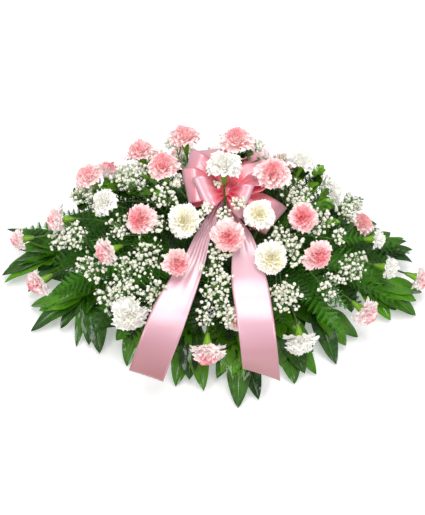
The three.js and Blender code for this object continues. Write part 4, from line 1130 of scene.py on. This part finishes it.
def palm_bunch(name, random):
    """A bunch: stalks that leave the foam straight and sag to their ends, with their leaflets."""
    hub, stalks = PALMS[name]
    hub = np.array(hub, float)
    shapes = []
    for number, (end, leaflets) in enumerate(stalks):
        end = np.array(end, float)
        leave = foam_exit(hub, end)
        crest = leave + unit(leave - hub) * np.linalg.norm(end - leave) / 2
        sagging = bezier([leave, crest, end], CURVE_POINTS // 2)
        line = spaced(np.concatenate([hub[None], sagging]), RACHIS["points"])
        radii = np.linspace(RACHIS["radius"], RACHIS["tip"], len(line))
        shapes.append(tubes(line[None], radii[None], RACHIS["sides"], PLAIN_MARKS["stalk"]))
        ring = [leaf[2:] for leaf in RING_LEAVES if leaf[:2] == (name, number)]
        for share, tip, width in leaflets + ring + between_leaflets(leave, leaflets, random):
            base = line[int(min(share, RACHIS["last_leaf"]) * (len(line) - 1))]
            shapes.append(palm_leaflet(base, np.array(tip, float), width, random, PALM_GRID))
    return joined(shapes)


# Bow

BOW_OUT = towards(0, BOW["lean"])
BOW_UP = towards(180, 90 - BOW["lean"])


def in_bow(across, rise, out):
    """A step given across the bow, up its face and out of it."""
    return np.array([across, 0, 0]) + rise * BOW_UP + out * BOW_OUT


def ribbon_strip(line, across, gather, both_ends, slant=0.0):
    """A ribbon along a line, and its length. Its half width shrinks to the pinch where it is gathered,
    and what it loses there goes into pleats, a cosine of the place across, v, whose height falls to
    nothing where the ribbon is flat. A tail is crowned by v squared. It has two faces and a thin wall
    between them all round. Its marks are the share of the way from the knot to the fold, or in a tail 1
    that rises to 2 at the cut end, the place across, and 0 for the outside or 1 for the inside."""
    rows, columns = len(line), RIBBON["columns"]
    length = length_of(line)
    along = np.linspace(0, length, rows)
    if both_ends:
        near, depth, crown = np.minimum(along, length - along), PLEATS["depth"], 0.0
        # Near the knot this mark is small, which the satin turns into painted shade
        away = 2 * near / length
    else:
        near, depth, crown = along, PLEATS["tail_depth"], RIBBON["crown"]
        # In a tail this mark rises towards the cut end, which the satin turns into painted shade
        away = 1 + smooth_step(along, RIBBON["darkens"] * length, length)
    flat = smooth_step(near, 0, gather)[:, None]
    v = np.linspace(-1, 1, columns)[None, :]
    half = 0.5 * between((RIBBON["pinch"], RIBBON["width"]), flat)
    _, side, normal = frame_along(line, across)
    pleat = depth * (1 - flat) ** PLEATS["fade"] * np.cos(PLEATS["count"] * np.pi * v)
    pleat = pleat * smooth_step(near, 0, PLEATS["start"])[:, None] - crown * flat * v**2
    grid = line[:, None] + (half * v)[..., None] * side[:, None] + pleat[..., None] * normal[:, None]
    if slant:
        tangent = unit(line[-1] - line[-2])
        pull = slant * (0.5 - v / 2) * smooth_step(along, length - RIBBON["slanted"], length)[:, None]
        grid = grid - pull[..., None] * tangent
    lift = unit(np.cross(np.gradient(grid, axis=0), np.gradient(grid, axis=1))) * RIBBON["thickness"] / 2
    marks = [
        np.stack(np.broadcast_arrays(away[:, None], v, value), -1).reshape(-1, 3) for value in (0.0, 1.0)
    ]
    index = np.arange(rows * columns).reshape(rows, columns)
    ring = np.concatenate([index[0, :-1], index[:-1, -1], index[-1, :0:-1], index[:0:-1, 0]])
    after = np.roll(ring, -1)
    below = rows * columns
    faces = np.concatenate([
        grid_faces(index),
        grid_faces(index)[:, ::-1] + below,
        np.stack([ring, after, after + below], -1),
        np.stack([ring, after + below, ring + below], -1),
    ])
    points = np.concatenate([(grid + lift).reshape(-1, 3), (grid - lift).reshape(-1, 3)])
    return Shape(points, faces, np.concatenate(marks)), length


def bow_loop(fold, crease, opening):
    """A loop: a smooth line out from the knot, round its fold and back, which stands open by twice the
    opening. The half loop gives shares of the reach and of the opening, and the way back mirrors it."""
    out = in_bow(*fold)
    reach = np.linalg.norm(out)
    axis = unit(out)
    across = unit(in_bow(*crease))
    loft = unit(np.cross(axis, across))
    places = HALF_LOOP + [(along, -away) for along, away in HALF_LOOP[-2::-1]]
    points = [BOW["middle"] + along * reach * axis + away * opening * loft for along, away in places]
    line = line_through(points, RIBBON["loop_points"])
    return ribbon_strip(line, across, RIBBON["loop_gather"], both_ends=True)


def bow_knot():
    """The knot: a short band of ribbon round the bow's middle. Its radius is the square root of 1 less the
    fourth power of 0.86 times the height along it, with folds round it as a cosine of that height. Its
    rings turn against the way they go, so its faces are reversed."""
    sides, rings = KNOT["sides"], KNOT["rings"]
    turn = np.linspace(0, 2 * np.pi, sides, endpoint=False)
    height = np.linspace(-1, 1, rings)[:, None]
    folds = 1 + KNOT["fold"] * np.cos(KNOT["folds"] * np.pi * height)
    radius = BOW["knot"] * np.sqrt(np.maximum(1 - (KNOT["squareness"] * height) ** 4, KNOT["end"])) * folds
    ring = np.cos(turn)[None, :, None] * np.array([1.0, 0, 0]) + np.sin(turn)[None, :, None] * BOW_OUT
    rise = KNOT["half"] * BOW["knot"] * height[..., None] * BOW_UP
    points = BOW["middle"] + radius[..., None] * ring + rise
    poles = BOW["middle"] + np.array([-1, 1])[:, None] * KNOT["pole"] * BOW["knot"] * BOW_UP
    points = np.concatenate([points.reshape(-1, 3), poles])
    return Shape(points, tube_faces(rings, sides)[:, ::-1], PLAIN_MARKS["knot"])


# Baby's breath

class Room:
    """What later pieces keep clear of: balls, each with its middle and its radius."""

    def __init__(self):
        self.points = np.zeros((0, 3))
        self.radii = np.zeros(0)

    def take(self, points, radius):
        """Adds balls of one radius round points."""
        points = np.asarray(points, float).reshape(-1, 3)
        self.points = np.concatenate([self.points, points])
        self.radii = np.concatenate([self.radii, np.full(len(points), float(radius))])

    def gaps(self, places):
        """The gap from each place to the nearest thing."""
        apart = np.linalg.norm(places[:, None] - self.points[None], axis=-1) - self.radii
        return apart.min(axis=1)

    def clear(self, places, gap):
        """Whether every place is farther than the gap from everything."""
        return bool((self.gaps(places) > gap).all())


def puff():
    """A floret of radius 1: rings of points on a ball from the upper pole to the lower, each ring turned a
    little further and every other point drawn in, so that it looks like crumpled petals. Its rings turn
    against the way they go, so its faces are reversed."""
    rings, sides = PUFF["rings"], PUFF["sides"]
    polar = np.linspace(PUFF["first_ring"], np.pi - PUFF["first_ring"], rings)[:, None]
    steps = np.arange(rings)[:, None]
    turn = np.linspace(0, 2 * np.pi, sides, endpoint=False) + PUFF["turned"] * steps
    drawn = np.where((steps + np.arange(sides)) % 2 == 0, PUFF["out"], PUFF["in"])
    points = np.stack(
        np.broadcast_arrays(np.sin(polar) * np.cos(turn), np.sin(polar) * np.sin(turn), np.cos(polar)), -1
    )
    poles = [[0, 0, PUFF["pole"]], [0, 0, -PUFF["pole"]]]
    points = np.concatenate([(drawn[..., None] * points).reshape(-1, 3), poles])
    return points, tube_faces(rings, sides)[:, ::-1]


def turns(count, random):
    """Random turns, each from a random unit quaternion."""
    q = unit(random.normal(size=(count, 4)))
    w, x, y, z = q.T
    return np.stack([
        np.stack([1 - 2 * (y * y + z * z), 2 * (x * y - w * z), 2 * (x * z + w * y)], -1),
        np.stack([2 * (x * y + w * z), 1 - 2 * (x * x + z * z), 2 * (y * z - w * x)], -1),
        np.stack([2 * (x * z - w * y), 2 * (y * z + w * x), 1 - 2 * (x * x + y * y)], -1),
    ], axis=1)


def puffs(places, radius, random):
    """Florets at the given places, each turned and sized by chance. The marks are how far a point is
    from the middle, 0 and a chance; the first of them keeps the drawn-in points deep grey-green as
    painted shade in the floret's hollows."""
    points, faces = puff()
    sizes = radius * random.uniform(*PUFF["sizes"], len(places))
    turned = np.einsum("nij,pj->npi", turns(len(places), random), points) * sizes[:, None, None]
    marks = np.zeros((len(places), len(points), 3))
    marks[..., 0] = np.clip((np.linalg.norm(points, axis=1) - PUFF["pale_from"]) / PUFF["pale_over"], 0, 1)
    marks[..., 2] = random.random((len(places), 1))
    return Shape(turned + places[:, None], repeated(faces, len(points), len(places)), marks)


def spray_places(middle, out, spread, room, random):
    """Places for a spray's florets and then its buds, a set gap apart: by chance in a ball that is
    flattened along out, where they lie clear of the heads and the ribbon."""
    tried = unit(random.normal(size=(SPRAY["tried"], 3)))
    tried = tried * (random.random((SPRAY["tried"], 1)) ** SPRAY["fullness"]) * spread
    tried = middle + tried - FLORET["flatness"] * (tried @ out)[:, None] * out
    tried = tried[room.gaps(tried) > FLORET["radius"] * SPRAY["clearance"]]
    florets = max(FLORET["fewest"], int(FLORET["florets"] * spread**2))
    wanted = florets + int(FLORET["buds"] * spread**2)
    kept = []
    for place in tried:
        if len(kept) >= wanted:
            break
        if not kept or np.linalg.norm(np.array(kept) - place, axis=1).min() > FLORET["gap"]:
            kept.append(place)
    return np.array(kept), florets


def breath_bunch(name, room, random):
    """A bunch: a stem that forks above the foam, a bent branch to each spray, and from its end side
    twigs that fork again to florets and buds."""
    hole, sprays = BREATHS[name]
    mouth = np.array([*hole, FOAM["top"]], float)
    fork = mouth + UP * SPRAY["fork"]
    stem = np.stack([mouth - SPRAY["sunk"] * UP, mouth, fork])
    woods = [tubes(stem[None], TWIG["stem"], TWIG_SIDES["stem"], PLAIN_MARKS["branch"])]
    florets, buds = [], []
    for *middle, spread in sprays:
        middle = np.array(middle, float)
        out = unit(middle - [middle[0] / 2, 0, FOAM["top"] / 2])
        foot = middle - SPRAY["foot"] * spread * out
        rise = SPRAY["rise"] * np.linalg.norm(foot - fork) * unit(UP + SPRAY["lean"] * out)
        branch = bezier([fork, fork + rise, foot], SPRAY["branch_points"])
        radii = np.linspace(TWIG["branch"], TWIG["branch_end"], SPRAY["branch_points"])
        woods.append(tubes(branch[None], radii[None], TWIG_SIDES["branch"], PLAIN_MARKS["branch"]))
        kept, first_bud = spray_places(middle, out, spread, room, random)
        if len(kept) < SPRAY["least"]:
            continue
        florets.append(kept[:first_bud])
        buds.append(kept[first_bud:])
        scatter = unit(random.normal(size=(SPRAY["forks"], 3))) * SPRAY["fork_spread"] * spread
        sides = middle - SPRAY["fork_depth"] * spread * out + scatter
        starts = sides[np.linalg.norm(kept[:, None] - sides, axis=-1).argmin(axis=1)]
        twigs = np.stack([starts, (starts + kept) / 2 - SPRAY["sag"] * UP, kept], axis=1)
        woods.append(tubes(twigs, TWIG["twig"], TWIG_SIDES["twig"], PLAIN_MARKS["twig"]))
        forks = np.stack([np.repeat(foot[None], len(sides), 0), (foot + sides) / 2, sides], axis=1)
        woods.append(tubes(forks, TWIG["fork"], TWIG_SIDES["fork"], PLAIN_MARKS["fork"]))
    places, small = np.concatenate(florets), np.concatenate(buds)
    heads = [puffs(places, FLORET["radius"], random), puffs(small, TWIG["bud"], random)]
    return joined(heads), joined(woods)


# Building the spray

VIEWER = towards(0, CAMERA["elevation"])
room = Room()

for number, bloom in enumerate(BLOOMS):
    kind, middle, facing, radius = bloom[:4]
    node = next(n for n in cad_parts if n.startswith(f"carnation_{number + 1:02d}_"))
    make_piece(f"petals_{number + 1:02d}", carnation_head(number), kind, node)
    for step, share in HEAD_ROOM:
        room.take(np.array(middle) + step * radius * towards(*facing), share * radius)
    if middle[1] < VIEW_ROOM["backmost"]:
        room.take(np.array(middle) + VIEW_ROOM["ahead"] * radius * VIEWER, VIEW_ROOM["radius"] * radius)

ribbons = []
for number, (fold, crease, opening) in enumerate(LOOPS, 1):
    shape, length = bow_loop(fold, crease, opening)
    loop = make_piece(f"bow_loop_{number}", shape, "satin", "bow_loops")
    ribbons.append(shape)
make_piece("bow_knot", bow_knot(), "satin", "bow_loops")
for name, (points, gather, slant) in TAILS.items():
    line = line_through(points, RIBBON["tail_points"])
    shape, length = ribbon_strip(line, np.array([1.0, 0, 0]), gather, both_ends=False, slant=slant)
    tail = make_piece(f"{name}_satin", shape, "satin", name)
    ribbons.append(shape)
for shape in ribbons:
    room.take(shape.points[: len(shape.points) // 2 : 2], RIBBON_ROOM)

fern_random = np.random.default_rng(SEEDS["fern"])
fill = fill_fronds(room, fern_random)
for row in ROWS:
    stems, sprigs, fronds = [], [], list(fill[row])
    for (what, i), mouth in row_mouths(row).items():
        if what == "bloom":
            stems += stem_and_calyx(i, mouth)
        else:
            _, tip, width = FERNS[i]
            tip = np.array(tip, float)
            facing = unit(level(tip - mouth) - FROND["droop"] * UP)
            line = stem_way(mouth, tip, facing, FROND["sunk"], (0, 0, 0), FROND["points"])
            fronds += fern_frond(line, width, fern_random)
    for of_row, *sprig in SPRIGS:
        if of_row == row:
            sprigs += leaf_sprig(row, *sprig, fern_random)
    node = f"stems_and_fern_{row}"
    make_piece(f"stems_{row}", joined(stems), "stem", node)
    make_piece(f"leatherleaf_{row}", joined(fronds), "fern", node)
    make_piece(f"sprigs_{row}", joined(sprigs), "sprig", node)

palm_random = np.random.default_rng(SEEDS["palm"])
for name in PALMS:
    make_piece(f"{name}_leaves", palm_bunch(name, palm_random), "palm", name)

breath_random = np.random.default_rng(SEEDS["breath"])
for name in BREATHS:
    heads, woods = breath_bunch(name, room, breath_random)
    make_piece(f"{name}_florets", heads, "breath", name)
    make_piece(f"{name}_twigs", woods, "twig", name)

for node, finish in HOLDER_FINISHES.items():
    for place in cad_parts[node].material_slots:
        place.material = MATERIALS[finish]


# Floor, light and camera

def floor():
    """A wide pale floor, level with the pad's underside, that glows a little so that it stays pale."""
    mesh = bpy.data.meshes.new("studio_floor")
    reach = FLOOR["reach"]
    corners = [(-reach, -reach, 0), (reach, -reach, 0), (reach, reach, 0), (-reach, reach, 0)]
    mesh.from_pydata(corners, [], [(0, 1, 2, 3)])
    paint = bpy.data.materials.new("studio floor")
    paint.use_nodes = True
    shader = paint.node_tree.nodes["Principled BSDF"]
    shader.inputs["Base Color"].default_value = (FLOOR["grey"], FLOOR["grey"], FLOOR["grey"], 1)
    shader.inputs["Emission Color"].default_value = (1, 1, 1, 1)
    shader.inputs["Emission Strength"].default_value = FLOOR["glow"]
    shader.inputs["Roughness"].default_value = FLOOR["roughness"]
    mesh.materials.append(paint)
    plane = bpy.data.objects.new("studio_floor", mesh)
    bpy.context.scene.collection.objects.link(plane)


def area_light(name, place, target, size, power):
    """A square soft light at a place in metres, turned to its target."""
    lamp = bpy.data.lights.new(name, "AREA")
    lamp.size = size
    lamp.energy = power
    light = bpy.data.objects.new(name, lamp)
    light.location = place
    aim = np.array(target) - np.array(place)
    light.rotation_euler = Vector(aim).to_track_quat("-Z", "Y").to_euler()
    bpy.context.scene.collection.objects.link(light)


def studio():
    """Soft light from above, a soft box on each side of the camera, and an even surround."""
    world = bpy.data.worlds.new("studio surround")
    world.use_nodes = True
    background = world.node_tree.nodes["Background"]
    background.inputs["Color"].default_value = (1, 1, 1, 1)
    background.inputs["Strength"].default_value = SURROUND
    bpy.context.scene.world = world
    for light in LIGHTS:
        area_light(*light)


def camera():
    """The camera: 2.3 m from its target low in the mound, looking down on it by 50 degrees."""
    lens = bpy.data.cameras.new("camera")
    lens.sensor_fit = "VERTICAL"
    lens.sensor_height = CAMERA["sensor"]
    lens.lens = CAMERA["focal"] / CAMERA["picture"] * CAMERA["sensor"]
    eye = bpy.data.objects.new("camera", lens)
    eye.location = CAMERA["target"] + CAMERA["away"] * VIEWER
    eye.rotation_euler = (np.radians(90 - CAMERA["elevation"]), 0, 0)
    bpy.context.scene.collection.objects.link(eye)
    bpy.context.scene.camera = eye


floor()
studio()
camera()
bpy.context.scene.view_settings.view_transform = "Standard"
